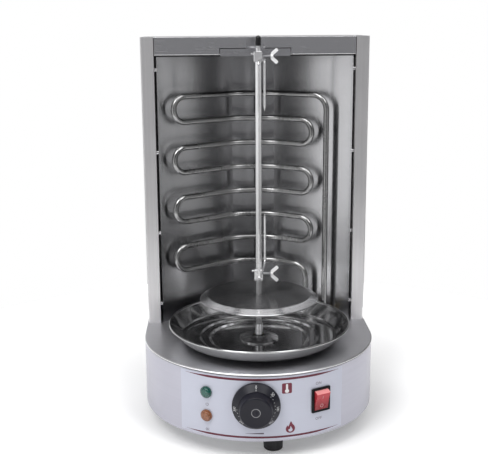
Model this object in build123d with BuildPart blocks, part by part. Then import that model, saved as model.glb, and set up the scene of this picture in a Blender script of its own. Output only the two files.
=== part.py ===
from build123d import *
import math
import os

os.makedirs("parts", exist_ok=True)

# Driving dimensions, mm. Z up, the front faces -Y, the table is z = 0.
YC = 12.6  # centre of the round front of the base
R = 150.0  # radius of the round front, half the width of the base
BACK = 138.0  # back wall, behind YC
RB = 18.0  # back corner radius
ZB = 24.0  # lower edge of the base wall
ZD = 109.0  # top of the deck
ZT = 495.0  # top of the tower
WALL = 1.0  # sheet thickness
YS = YC - 26.0  # spit axis
Y0 = YC + 45.0  # front plane of the tower posts
XO = 149.0  # outer half width of the tower
XI = 132.0  # inner edge of a post
YL = YC + 119.0  # front face of the middle reflector panel
XL = 29.2  # half width of the middle reflector panel
XE = 128.8  # front edge of a side reflector panel
YE = YC + 49.3
ZH = ZD + 363.0  # lower edge of the header
TURN = -8.0  # turn of the forks about the spit axis at rest
ROD_TURN = -50.0  # turn of the square rod, which shows an edge to the front
ROD = 4.8  # side of the square rod

# Front panel features: angle from the front toward +X, height under the deck
KNOB_A, KNOB_Z = -3.8, ZD - 38.0
LAMP_A, LAMP_Z1, LAMP_Z2 = -27.3, ZD - 26.9, ZD - 56.9
SW_A, SW_Z = 27.05, ZD - 39.2
LABEL_A0, LABEL_A1 = -41.6, 40.0
LABEL_Z0, LABEL_Z1 = ZD - 82.0, ZD - 4.2


def save(builder, label):
    builder.part.label = label
    export_step(builder.part, "parts/" + label + ".step")


def panel(angle, z, d):
    """A plane square to the front panel at an angle, a distance d from YC."""
    a = math.radians(angle)
    return Plane(
        origin=(d * math.sin(a), YC - d * math.cos(a), z),
        x_dir=(math.cos(a), math.sin(a), 0),
        z_dir=(math.sin(a), -math.cos(a), 0),
    )


def spit_plane(z, turn=TURN):
    """A level plane on the spit axis, turned with the forks or with the rod."""
    a = math.radians(turn)
    return Plane(
        origin=(0, YS, z), x_dir=(math.cos(a), math.sin(a), 0), z_dir=(0, 0, 1)
    )


def spit_side(z, x=0.0, turn=TURN):
    """A plane square to that turned X, at a height and a distance from the axis."""
    a = math.radians(turn)
    return Plane(
        origin=(x * math.cos(a), YS + x * math.sin(a), z),
        x_dir=(-math.sin(a), math.cos(a), 0),
        z_dir=(math.cos(a), math.sin(a), 0),
    )


def u_outline(grow, rb=RB):
    """Half-round front, straight sides, flat back with round corners."""
    r = R + grow
    yb = YC + BACK + grow
    rc = rb + grow
    with BuildLine() as line:
        ThreePointArc((-r, YC), (0, YC - r), (r, YC))
        Line((r, YC), (r, yb - rc))
        RadiusArc((r, yb - rc), (r - rc, yb), -rc)
        Line((r - rc, yb), (-r + rc, yb))
        RadiusArc((-r + rc, yb), (-r, yb - rc), -rc)
        Line((-r, yb - rc), (-r, YC))
    return line.line


# ---------------------------------------------------------------- base wall
with BuildPart() as base_skirt:
    with BuildSketch(Plane.XY.offset(ZB)):
        with BuildLine():
            add(u_outline(0))
        make_face()
        with BuildLine(mode=Mode.PRIVATE) as inner:
            add(u_outline(-WALL))
        make_face(inner.line, mode=Mode.SUBTRACT)
    extrude(amount=ZD - 3.0 - ZB)
    # inward flange that carries the floor plate
    with BuildSketch(Plane.XY.offset(ZB)):
        with BuildLine():
            add(u_outline(-WALL))
        make_face()
        with BuildLine(mode=Mode.PRIVATE) as inner:
            add(u_outline(-9.0))
        make_face(inner.line, mode=Mode.SUBTRACT)
    extrude(amount=1.0)
    # lamp, shaft and switch openings
    for z in (LAMP_Z1, LAMP_Z2):
        with BuildSketch(panel(LAMP_A, z, R - 8)):
            Circle(5.3)
        extrude(amount=16, mode=Mode.SUBTRACT)
    with BuildSketch(panel(KNOB_A, KNOB_Z, R - 8)):
        Circle(5.2)
    extrude(amount=16, mode=Mode.SUBTRACT)
    with BuildSketch(panel(SW_A, SW_Z, R - 10)):
        Rectangle(22.4, 28.4)
    extrude(amount=20, mode=Mode.SUBTRACT)
    # gland opening in the back
    with BuildSketch(
        Plane(
            origin=(-70, YC + BACK - 8, 52), x_dir=(-1, 0, 0), z_dir=(0, 1, 0)
        )
    ):
        Circle(8.3)
    extrude(amount=16, mode=Mode.SUBTRACT)
    # row of cooling slots in the back
    with BuildSketch(
        Plane(origin=(40, YC + BACK - 8, 66), x_dir=(-1, 0, 0), z_dir=(0, 1, 0))
    ):
        with GridLocations(9, 0, 9, 1):
            SlotOverall(34, 4, rotation=90)
    extrude(amount=16, mode=Mode.SUBTRACT)
    # floor screw holes in the flange
    with BuildSketch(Plane.XY.offset(ZB)):
        with Locations((0, YC)):
            with PolarLocations(145, 4, start_angle=202.5, angular_range=135):
                Circle(1.7)
        with Locations((-100, YC + BACK - 5), (100, YC + BACK - 5)):
            Circle(1.7)
    extrude(amount=1.0, mode=Mode.SUBTRACT)
save(base_skirt, "base_skirt")

# ---------------------------------------------------------------- deck
LEG_LONG = 90.0
LEG_SHORT = 60.3
TUBE = 3.75
OFF = 14.0
TH = math.atan2(YL - YE, XE - XL)
CT, ST = math.cos(TH), math.sin(TH)


def on_left(u, z):
    return (-XL + ST * OFF - CT * u, YL - CT * OFF - ST * u, z)


def on_right(u, z):
    return (XL - ST * OFF + CT * u, YL - CT * OFF - ST * u, z)


legs = [on_right(LEG_LONG, 0)[:2], on_right(LEG_SHORT, 0)[:2]]
MOTOR_POSTS = [(25, YS + 25), (-25, YS + 25), (-25, YS - 25), (25, YS - 25)]
BRACKET_X = (-90.0, 0.0, 90.0)

with BuildPart() as deck:
    with BuildSketch(Plane.XY.offset(ZD - 3.0)):
        with BuildLine():
            add(u_outline(0.6))
        make_face()
    extrude(amount=3.0)
    fillet(deck.faces().sort_by(Axis.Z)[-1].edges(), 1.4)
    with BuildSketch(Plane.XY.offset(ZD - 3.0)):
        with BuildLine():
            add(u_outline(-WALL))
        make_face()
    extrude(amount=1.8, mode=Mode.SUBTRACT)
    with BuildSketch(Plane.XY.offset(ZD - 3.0)):
        with Locations((0, YS)):
            Circle(8.0)
        with Locations(*legs):
            Circle(6.0)
        with Locations(*[(x, YC + BACK - 11) for x in BRACKET_X]):
            Circle(2.2)
        with Locations((-60, YC + 127)):
            Circle(3.0)
    extrude(amount=3.0, mode=Mode.SUBTRACT)
    # seam groove under the rolled edge, above the wall
    with BuildSketch(Plane.XY.offset(ZD - 3.0)):
        with BuildLine():
            add(u_outline(1.0))
        make_face()
        with BuildLine(mode=Mode.PRIVATE) as inner:
            add(u_outline(-0.5))
        make_face(inner.line, mode=Mode.SUBTRACT)
    extrude(amount=1.3, mode=Mode.SUBTRACT)
save(deck, "deck")

# ---------------------------------------------------------------- floor plate and feet
FEET = [
    (118 * math.sin(math.radians(6)), YC - 118 * math.cos(math.radians(6))),
    (-112, YC + 100),
    (112, YC + 100),
]
with BuildPart() as floor_plate:
    with BuildSketch(Plane.XY.offset(ZB + 1.0)):
        with BuildLine():
            add(u_outline(-WALL - 0.4))
        make_face()
        with Locations(*FEET):
            Circle(2.3, mode=Mode.SUBTRACT)
        with Locations((0, YC)):
            with PolarLocations(145, 4, start_angle=202.5, angular_range=135):
                Circle(1.7, mode=Mode.SUBTRACT)
        with Locations((-100, YC + BACK - 5), (100, YC + BACK - 5)):
            Circle(1.7, mode=Mode.SUBTRACT)
        with Locations((0, YS)):
            with GridLocations(10, 60, 7, 2):
                SlotOverall(40, 4, rotation=90, mode=Mode.SUBTRACT)
    extrude(amount=1.0)
save(floor_plate, "floor_plate")

with BuildPart() as feet:
    for x, y in FEET:
        with BuildSketch(Plane(origin=(x, y, 0), x_dir=(1, 0, 0), z_dir=(0, -1, 0))):
            with BuildLine():
                Polyline(
                    (6.5, 0), (10.8, 0), (11.8, 1.0), (13.0, 25.0), (2.4, 25.0),
                    (2.4, 9.0), (6.5, 9.0), (6.5, 0),
                )
            make_face()
        revolve(axis=Axis((x, y, 0), (0, 0, 1)))
save(feet, "feet")

with BuildPart() as foot_screws:
    for x, y in FEET:
        with BuildSketch(Plane(origin=(x, y, 0), x_dir=(1, 0, 0), z_dir=(0, -1, 0))):
            with BuildLine():
                Polyline(
                    (0, 5.6), (3.4, 5.6), (4.6, 6.6), (4.6, 9.0), (2.2, 9.0),
                    (2.2, 26.0), (4.2, 26.0), (4.2, 29.6), (2.0, 29.6), (2.0, 33.0), (0, 33.0), (0, 5.6),
                )
            make_face()
        revolve(axis=Axis((x, y, 0), (0, 0, 1)))
save(foot_screws, "foot_screws")

with BuildPart() as floor_screws:
    with BuildSketch(Plane.XY.offset(ZB - 1.6)):
        with Locations((0, YC)):
            with PolarLocations(145, 4, start_angle=202.5, angular_range=135):
                Circle(2.8)
        with Locations((-100, YC + BACK - 5), (100, YC + BACK - 5)):
            Circle(2.8)
    extrude(amount=1.6)
    fillet(floor_screws.faces().filter_by(Axis.Z).group_by(Axis.Z)[0].edges(), 0.8)
    with BuildSketch(Plane.XY.offset(ZB)):
        with Locations((0, YC)):
            with PolarLocations(145, 4, start_angle=202.5, angular_range=135):
                Circle(1.6)
        with Locations((-100, YC + BACK - 5), (100, YC + BACK - 5)):
            Circle(1.6)
    extrude(amount=6.0)
save(floor_screws, "floor_screws")

# ---------------------------------------------------------------- control label
with BuildPart() as control_label:
    with BuildSketch(Plane.XY.offset(LABEL_Z0)):
        with Locations((0, YC)):
            Circle(R + 0.3)
            Circle(R, mode=Mode.SUBTRACT)
        with BuildLine():
            far = 190.0
            p0 = (0, YC)
            a0, a1 = math.radians(LABEL_A0), math.radians(LABEL_A1)
            am = (a0 + a1) / 2
            Polyline(
                p0,
                (far * math.sin(a0), YC - far * math.cos(a0)),
                (2 * far * math.sin(am), YC - 2 * far * math.cos(am)),
                (far * math.sin(a1), YC - far * math.cos(a1)),
                p0,
            )
        make_face(mode=Mode.INTERSECT)
    extrude(amount=LABEL_Z1 - LABEL_Z0)
    for z in (LAMP_Z1, LAMP_Z2):
        with BuildSketch(panel(LAMP_A, z, R - 8)):
            Circle(5.3)
        extrude(amount=16, mode=Mode.SUBTRACT)
    with BuildSketch(panel(KNOB_A, KNOB_Z, R - 8)):
        Circle(7.4)
    extrude(amount=16, mode=Mode.SUBTRACT)
    with BuildSketch(panel(SW_A, SW_Z, R - 10)):
        Rectangle(22.4, 28.4)
    extrude(amount=20, mode=Mode.SUBTRACT)
save(control_label, "control_label")

# ---------------------------------------------------------------- lamps
for label, z in (("green_lamp", LAMP_Z1), ("amber_lamp", LAMP_Z2)):
    with BuildPart() as lamp:
        with BuildSketch(panel(LAMP_A, z, R + 0.62)):
            Circle(7.4)
        extrude(amount=1.6)
        with BuildSketch(panel(LAMP_A, z, R + 2.22)):
            Circle(6.1)
        extrude(amount=3.2)
        fillet(lamp.faces().sort_by(lambda f: (f.center() - Vector(0, YC, 0)).length)[-1].edges(), 2.4)
        with BuildSketch(panel(LAMP_A, z, R + 0.62)):
            Circle(5.0)
        extrude(amount=-13)
    save(lamp, label)

with BuildPart() as lamp_nuts:
    for z in (LAMP_Z1, LAMP_Z2):
        with BuildSketch(panel(LAMP_A, z, R - 6.6)):
            RegularPolygon(8.4, 6)
            Circle(5.2, mode=Mode.SUBTRACT)
        extrude(amount=5.0)
        with BuildSketch(panel(LAMP_A, z, R - 12.38)):
            Circle(5.0)
        extrude(amount=-12)
        with BuildSketch(panel(LAMP_A, z, R - 24.38)):
            with Locations((-2.2, 0), (2.2, 0)):
                Rectangle(0.8, 4.8)
        extrude(amount=-8)
save(lamp_nuts, "lamp_bodies")

# ---------------------------------------------------------------- thermostat
with BuildPart() as thermostat_body:
    with BuildSketch(panel(KNOB_A, KNOB_Z, R - 4.2)):
        Rectangle(38, 30)
    extrude(amount=-1.2)
    with BuildSketch(panel(KNOB_A, KNOB_Z, R - 5.4)):
        RectangleRounded(33, 33, 3)
    extrude(amount=-24)
    with BuildSketch(panel(KNOB_A, KNOB_Z, R - 4.2)):
        Circle(4.9)
    extrude(amount=6.4)
    with BuildSketch(panel(KNOB_A, KNOB_Z, R + 2.2)):
        Circle(3.06)
    extrude(amount=-22, mode=Mode.SUBTRACT)
    with BuildSketch(panel(KNOB_A, KNOB_Z, R - 29.4)):
        with Locations((-8, 6), (8, 6)):
            Rectangle(6.3, 0.8)
    extrude(amount=-9)
save(thermostat_body, "thermostat_body")

with BuildPart() as thermostat_nut:
    with BuildSketch(panel(KNOB_A, KNOB_Z, R + 0.02)):
        RegularPolygon(7.0, 6)
        Circle(4.95, mode=Mode.SUBTRACT)
    extrude(amount=2.0)
save(thermostat_nut, "thermostat_nut")

with BuildPart() as thermostat_shaft:
    with BuildSketch(panel(KNOB_A, KNOB_Z, R - 19.0)):
        Circle(3.0)
    extrude(amount=38.0)
    with BuildSketch(panel(KNOB_A, KNOB_Z, R + 8.0)):
        with Locations((0, 3.6)):
            Rectangle(8, 4.0)
    extrude(amount=12.0, mode=Mode.SUBTRACT)
save(thermostat_shaft, "thermostat_shaft")

KN = R + 1.3  # back face of the knob's dial skirt
KA = math.radians(KNOB_A)
DISH = (17.2**2 + 1.2**2) / 2.4  # the front is hollowed by 1.2 mm, as part of a ball
half = math.asin(17.2 / DISH) / 2
with BuildPart() as knob:
    # half section: local x runs outward from the knob's axis, local y runs away from the panel
    with BuildSketch(Plane(origin=panel(KNOB_A, KNOB_Z, R).origin, x_dir=(0, 0, 1), z_dir=(math.cos(KA), math.sin(KA), 0))):
        with BuildLine():
            Polyline((0, 1.3), (28.5, 1.3), (28.9, 1.7), (28.9, 4.4))
            ThreePointArc((28.9, 4.4), (28.75, 4.9), (28.3, 5.3))
            Polyline((28.3, 5.3), (21.2, 11.4), (20.7, 11.4), (19.3, 22.6))
            ThreePointArc((19.3, 22.6), (18.75, 24.2), (17.2, 24.9))
            ThreePointArc((17.2, 24.9), (DISH * math.sin(half), 23.7 + DISH * (1 - math.cos(half))), (0, 23.7))
            Line((0, 23.7), (0, 1.3))
        make_face()
    revolve(axis=Axis(tuple(panel(KNOB_A, KNOB_Z, R).origin), tuple(panel(KNOB_A, KNOB_Z, R).z_dir)))
    # hollow back: open over the nut, then a ring round the shaft boss
    with BuildSketch(panel(KNOB_A, KNOB_Z, KN)):
        Circle(17.4)
    extrude(amount=R + 3.4 - KN, mode=Mode.SUBTRACT)
    with BuildSketch(panel(KNOB_A, KNOB_Z, KN)):
        Circle(17.4)
        Circle(7.0, mode=Mode.SUBTRACT)
    extrude(amount=R + 18.0 - KN, mode=Mode.SUBTRACT)
    # bore with a flat for the shaft
    with BuildSketch(panel(KNOB_A, KNOB_Z, KN)):
        Circle(3.0)
        with Locations((0, 3.6)):
            Rectangle(8, 4.0, mode=Mode.SUBTRACT)
    extrude(amount=R + 19.4 - KN, mode=Mode.SUBTRACT)
    with BuildSketch(panel(KNOB_A, KNOB_Z, KN)):
        Circle(3.0)
    extrude(amount=R + 8.0 - KN, mode=Mode.SUBTRACT)
save(knob, "thermostat_knob")

# ---------------------------------------------------------------- rocker switch
SWD = R + 0.4  # back face of the bezel
SWP = SWD - 1.0  # rocker pivot
with BuildPart() as switch_housing:
    with BuildSketch(panel(SW_A, SW_Z, SWD)):
        RectangleRounded(26.2, 31.0, 1.6)
    extrude(amount=1.8)
    fillet(switch_housing.faces().sort_by(lambda f: (f.center() - Vector(0, YC, SW_Z)).length)[-1].edges(), 0.7)
    with BuildSketch(panel(SW_A, SW_Z, SWD)):
        Rectangle(22.0, 28.0)
    extrude(amount=-25)
    with BuildSketch(panel(SW_A, SW_Z, SWD + 3)):
        Rectangle(20.0, 26.0)
    extrude(amount=-22, mode=Mode.SUBTRACT)
    # pivot holes for the rocker
    pv = panel(SW_A, SW_Z, SWP)
    with BuildSketch(Plane(pv.origin, x_dir=pv.z_dir, z_dir=pv.x_dir)):
        Circle(1.55)
    extrude(amount=10.7, both=True, mode=Mode.SUBTRACT)
    with BuildSketch(panel(SW_A, SW_Z, SWD - 25)):
        with Locations((-5, 7), (5, 7), (-5, -7), (5, -7)):
            Rectangle(6.3, 0.8)
    extrude(amount=-9)
save(switch_housing, "switch_housing")

# Rocker: lower end pressed in, upper end stands out (off)
RKR = 12.6  # ends follow a circle about the pivot
A_OUT, A_IN = math.radians(43), math.radians(15)
with BuildPart() as rocker:
    with BuildSketch(Plane(pv.origin - pv.x_dir * 9.4, x_dir=pv.z_dir, z_dir=pv.x_dir)):
        with BuildLine():
            # local x points out of the panel, local y points down
            low = (RKR * math.sin(A_IN), RKR * math.cos(A_IN))
            high = (RKR * math.sin(A_OUT), -RKR * math.cos(A_OUT))
            back = (-3.0, math.sqrt(RKR**2 - 9.0))
            ThreePointArc(low, (0, RKR), back)
            Polyline(back, (-6.0, 6.0), (-6.0, -6.0), (back[0], -back[1]))
            ThreePointArc((back[0], -back[1]), (0, -RKR), high)
            ThreePointArc(high, (4.9, 1.2), low)
        make_face()
    extrude(amount=18.8)
    fillet(rocker.edges().filter_by(lambda e: e.length > 15 and abs((e % 0.5).dot(pv.x_dir)) > 0.99).sort_by(lambda e: (e.center() - pv.origin).dot(pv.z_dir))[-1], 0.9)
    with BuildSketch(Plane(pv.origin, x_dir=pv.z_dir, z_dir=pv.x_dir)):
        Circle(1.2)
    extrude(amount=10.3, both=True)
save(rocker, "switch_rocker")

# ---------------------------------------------------------------- cable gland
with BuildPart() as gland:
    gp = Plane(origin=(-70, YC + BACK, 52), x_dir=(-1, 0, 0), z_dir=(0, 1, 0))
    with BuildSketch(gp):
        Circle(11.5)
    extrude(amount=3.0)
    with BuildSketch(gp.offset(3.0)):
        Circle(9.0)
    extrude(amount=11.0, taper=10)
    fillet(gland.faces().sort_by(Axis.Y)[-1].edges(), 1.0)
    with BuildSketch(gp):
        Circle(8.0)
    extrude(amount=-11.0)
    with BuildSketch(gp.offset(14.0)):
        Circle(3.6)
    extrude(amount=-25.0, mode=Mode.SUBTRACT)
save(gland, "cable_gland")

with BuildPart() as gland_nut:
    with BuildSketch(gp.offset(-WALL)):
        RegularPolygon(12.0, 6)
        Circle(8.05, mode=Mode.SUBTRACT)
    extrude(amount=-5.0)
save(gland_nut, "gland_nut")

# ---------------------------------------------------------------- drive
with BuildPart() as shaft_bush:
    with BuildSketch(Plane.XZ.offset(-YS)):
        with BuildLine():
            Polyline(
                (4.06, ZD - 12), (8.0, ZD - 12), (8.0, ZD), (10.5, ZD), (10.5, ZD + 1.6),
                (4.06, ZD + 1.6), (4.06, ZD - 12),
            )
        make_face()
    revolve(axis=Axis((0, YS, 0), (0, 0, 1)))
save(shaft_bush, "shaft_bush")

with BuildPart() as drive_shaft:
    with BuildSketch(Plane.XY.offset(64)):
        with Locations((0, YS)):
            Circle(4.0)
    extrude(amount=ZD + 3.0 - 64)
save(drive_shaft, "drive_shaft")

with BuildPart() as drive_socket:
    with BuildSketch(Plane.XY.offset(ZD + 3.0)):
        with Locations((0, YS)):
            Circle(5.2)
    extrude(amount=18.6)
    fillet(drive_socket.faces().sort_by(Axis.Z)[-1].edges(), 0.6)
    with BuildSketch(spit_plane(ZD + 7.5, ROD_TURN)):
        Rectangle(ROD + 0.6, ROD + 0.6)
    extrude(amount=30, mode=Mode.SUBTRACT)
save(drive_socket, "drive_socket")

with BuildPart() as gearbox:
    with BuildSketch(Plane.XY.offset(60)):
        with Locations((0, YS)):
            Circle(31)
    extrude(amount=26)
    fillet(gearbox.faces().sort_by(Axis.Z)[0].edges(), 2.0)
    with BuildSketch(Plane.XY.offset(64)):
        with Locations((0, YS)):
            Circle(4.3)
    extrude(amount=30, mode=Mode.SUBTRACT)
save(gearbox, "gearbox")

with BuildPart() as motor:
    with BuildSketch(Plane.XY.offset(34)):
        with Locations((0, YS)):
            Circle(25)
    extrude(amount=26)
    fillet(motor.faces().sort_by(Axis.Z)[0].edges(), 2.5)
save(motor, "motor")

with BuildPart() as motor_plate:
    with BuildSketch(Plane.XY.offset(86)):
        with Locations((0, YS)):
            RectangleRounded(66, 66, 6)
            Circle(9, mode=Mode.SUBTRACT)
        with Locations(*MOTOR_POSTS):
            Circle(2.2, mode=Mode.SUBTRACT)
    extrude(amount=2.0)
save(motor_plate, "motor_plate")

with BuildPart() as standoffs:
    with BuildSketch(Plane.XY.offset(88)):
        with Locations(*MOTOR_POSTS):
            Circle(4.0)
    extrude(amount=ZD - 1.2 - 88)
    with BuildSketch(Plane.XY.offset(88)):
        with Locations(*MOTOR_POSTS):
            Circle(2.2)
    extrude(amount=12, mode=Mode.SUBTRACT)
save(standoffs, "motor_standoffs")

with BuildPart() as motor_screws:
    with BuildSketch(Plane.XY.offset(86)):
        with Locations(*MOTOR_POSTS):
            Circle(2.0)
    extrude(amount=12)
    with BuildSketch(Plane.XY.offset(86)):
        with Locations(*MOTOR_POSTS):
            Circle(3.4)
    extrude(amount=-2.4)
save(motor_screws, "motor_screws")

# ---------------------------------------------------------------- terminal block and wires
with BuildPart() as terminal_block:
    with BuildSketch(Plane.XY.offset(ZB + 2.0)):
        with Locations((-70, YC + 95)):
            Rectangle(44, 18)
    extrude(amount=14)
    with BuildSketch(Plane.XY.offset(ZB + 16.0)):
        with Locations((-70, YC + 95)):
            with GridLocations(10, 9, 4, 2):
                Circle(2.2)
    extrude(amount=-4, mode=Mode.SUBTRACT)
save(terminal_block, "terminal_block")


def wire_path(points, radius):
    with BuildLine() as line:
        FilletPolyline(*points, radius=radius)
    return line


tb = panel(KNOB_A, KNOB_Z, R - 40)
WIRES = [
    # gland to terminal block
    [(-70, YC + BACK - 13, 52), (-70, YC + 112, 52), (-70, YC + 112, 34), (-70, YC + 104.3, 34)],
    # terminal block to the switch
    [(-60, YC + 85.7, 34), (-60, YC + 70, 34), (58, YC + 70, 34), (58, YC - 60, 34), (53, YC - 97, 60)],
    # switch to the thermostat
    [(44, YC - 95, 77), (38, YC - 70, 77), (10, YC - 70, 77), (2, YC - 109, 77)],
    # thermostat to the lamps
    [(-15, YC - 109, 77), (-18, YC - 72, 77), (-40, YC - 72, 70), (-49, YC - 96, LAMP_Z2)],
    # terminal block to the motor
    [(-75, YC + 85.7, 34), (-75, YC + 50, 34), (-50, YC + 20, 45), (-26.2, YS + 1, 47)],
]
with BuildPart() as wiring:
    for pts in WIRES:
        path = wire_path(pts, 5.0)
        with BuildSketch(Plane(origin=path.line @ 0, z_dir=path.line % 0)):
            Circle(1.3)
        sweep(path=path.line)
save(wiring, "wiring")

# ---------------------------------------------------------------- tower shell
JOG = 0.6  # the lower edge of the shell is stepped in
ZJ = ZD + 17.0  # height of the step
with BuildPart() as shell:
    for z, top, jog in ((ZJ, ZT, 0.0), (ZD, ZJ, JOG)):
        with BuildSketch(Plane.XY.offset(z)):
            with Locations((0, (Y0 + YC + BACK) / 2)):
                Rectangle(2 * (XO - jog), YC + BACK - Y0 - 2 * jog)
            fillet(vertices().group_by(Axis.Y)[-1], RB - jog)
            fillet(vertices().group_by(Axis.Y)[0], 2.0 - jog)
            offset(amount=-WALL, mode=Mode.SUBTRACT)
            with Locations((0, Y0)):
                Rectangle(2 * XI, 6, mode=Mode.SUBTRACT)
            with Locations((-XI - WALL / 2, Y0 + 8 + jog / 2), (XI + WALL / 2, Y0 + 8 + jog / 2)):
                Rectangle(WALL, 16 - jog)
        extrude(amount=top - z)
    # the returns end under the roof plate
    with BuildSketch(Plane.XY.offset(ZT - WALL)):
        with Locations((-XI - WALL / 2, Y0 + 8.7), (XI + WALL / 2, Y0 + 8.7)):
            Rectangle(WALL + 0.4, 15)
    extrude(amount=WALL, mode=Mode.SUBTRACT)
    # holes for the reflector screws in both returns
    for z in (ZD + 25, ZD + 125, ZD + 235, ZD + 344):
        with BuildSketch(Plane(origin=(-XI - 2, Y0 + 11.5, z), x_dir=(0, 1, 0), z_dir=(1, 0, 0))):
            Circle(1.7)
        extrude(amount=4, mode=Mode.SUBTRACT)
        with BuildSketch(Plane(origin=(XI + 2, Y0 + 11.5, z), x_dir=(0, 1, 0), z_dir=(-1, 0, 0))):
            Circle(1.7)
        extrude(amount=4, mode=Mode.SUBTRACT)
    # roof screw holes in the sides and the back
    for y in (Y0 + 22, Y0 + 66):
        with BuildSketch(Plane(origin=(-XO - 2, y, ZT - 6.5), x_dir=(0, 1, 0), z_dir=(1, 0, 0))):
            Circle(1.7)
        extrude(amount=2 * XO + 4, mode=Mode.SUBTRACT)
    with BuildSketch(Plane(origin=(0, YC + BACK - 4, ZT - 6.5), x_dir=(-1, 0, 0), z_dir=(0, 1, 0))):
        with Locations((-80, 0), (80, 0)):
            Circle(1.7)
    extrude(amount=8, mode=Mode.SUBTRACT)
    # tower screw holes and vents in the back
    with BuildSketch(Plane(origin=(0, YC + BACK - 4, ZD), x_dir=(-1, 0, 0), z_dir=(0, 1, 0))):
        with Locations(*[(x, 12) for x in BRACKET_X]):
            Circle(1.7)
        with Locations((0, 330)):
            with GridLocations(0, 10, 1, 4):
                SlotOverall(90, 4)
        with Locations((0, 60)):
            with GridLocations(0, 10, 1, 4):
                SlotOverall(90, 4)
    extrude(amount=8, mode=Mode.SUBTRACT)
save(shell, "outer_shell")

with BuildPart() as tower_brackets:
    for x in BRACKET_X:
        with BuildSketch(Plane(origin=(x - 9, 0, 0), x_dir=(0, 1, 0), z_dir=(1, 0, 0))):
            with BuildLine():
                yb = YC + BACK - WALL - JOG
                Polyline((yb, ZD), (yb, ZD + 20), (yb - 1.5, ZD + 20), (yb - 1.5, ZD + 1.5), (yb - 16, ZD + 1.5), (yb - 16, ZD), (yb, ZD))
            make_face()
        extrude(amount=18)
        with BuildSketch(Plane.XY.offset(ZD)):
            with Locations((x, YC + BACK - 11)):
                Circle(2.2)
        extrude(amount=2, mode=Mode.SUBTRACT)
        with BuildSketch(Plane(origin=(x, YC + BACK - 4, ZD + 12), x_dir=(-1, 0, 0), z_dir=(0, 1, 0))):
            Circle(1.7)
        extrude(amount=8, mode=Mode.SUBTRACT)
save(tower_brackets, "tower_brackets")

with BuildPart() as tower_screws:
    for x in BRACKET_X:
        with BuildSketch(Plane(origin=(x, YC + BACK - JOG, ZD + 12), x_dir=(-1, 0, 0), z_dir=(0, 1, 0))):
            Circle(3.2)
        extrude(amount=1.8)
        with BuildSketch(Plane(origin=(x, YC + BACK - JOG, ZD + 12), x_dir=(-1, 0, 0), z_dir=(0, 1, 0))):
            Circle(1.5)
        extrude(amount=-5)
        with BuildSketch(Plane.XY.offset(ZD + 1.5)):
            with Locations((x, YC + BACK - 11)):
                Circle(3.4)
        extrude(amount=2.0)
        with BuildSketch(Plane.XY.offset(ZD + 1.5)):
            with Locations((x, YC + BACK - 11)):
                Circle(2.0)
        extrude(amount=-8)
save(tower_screws, "tower_screws")

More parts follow.
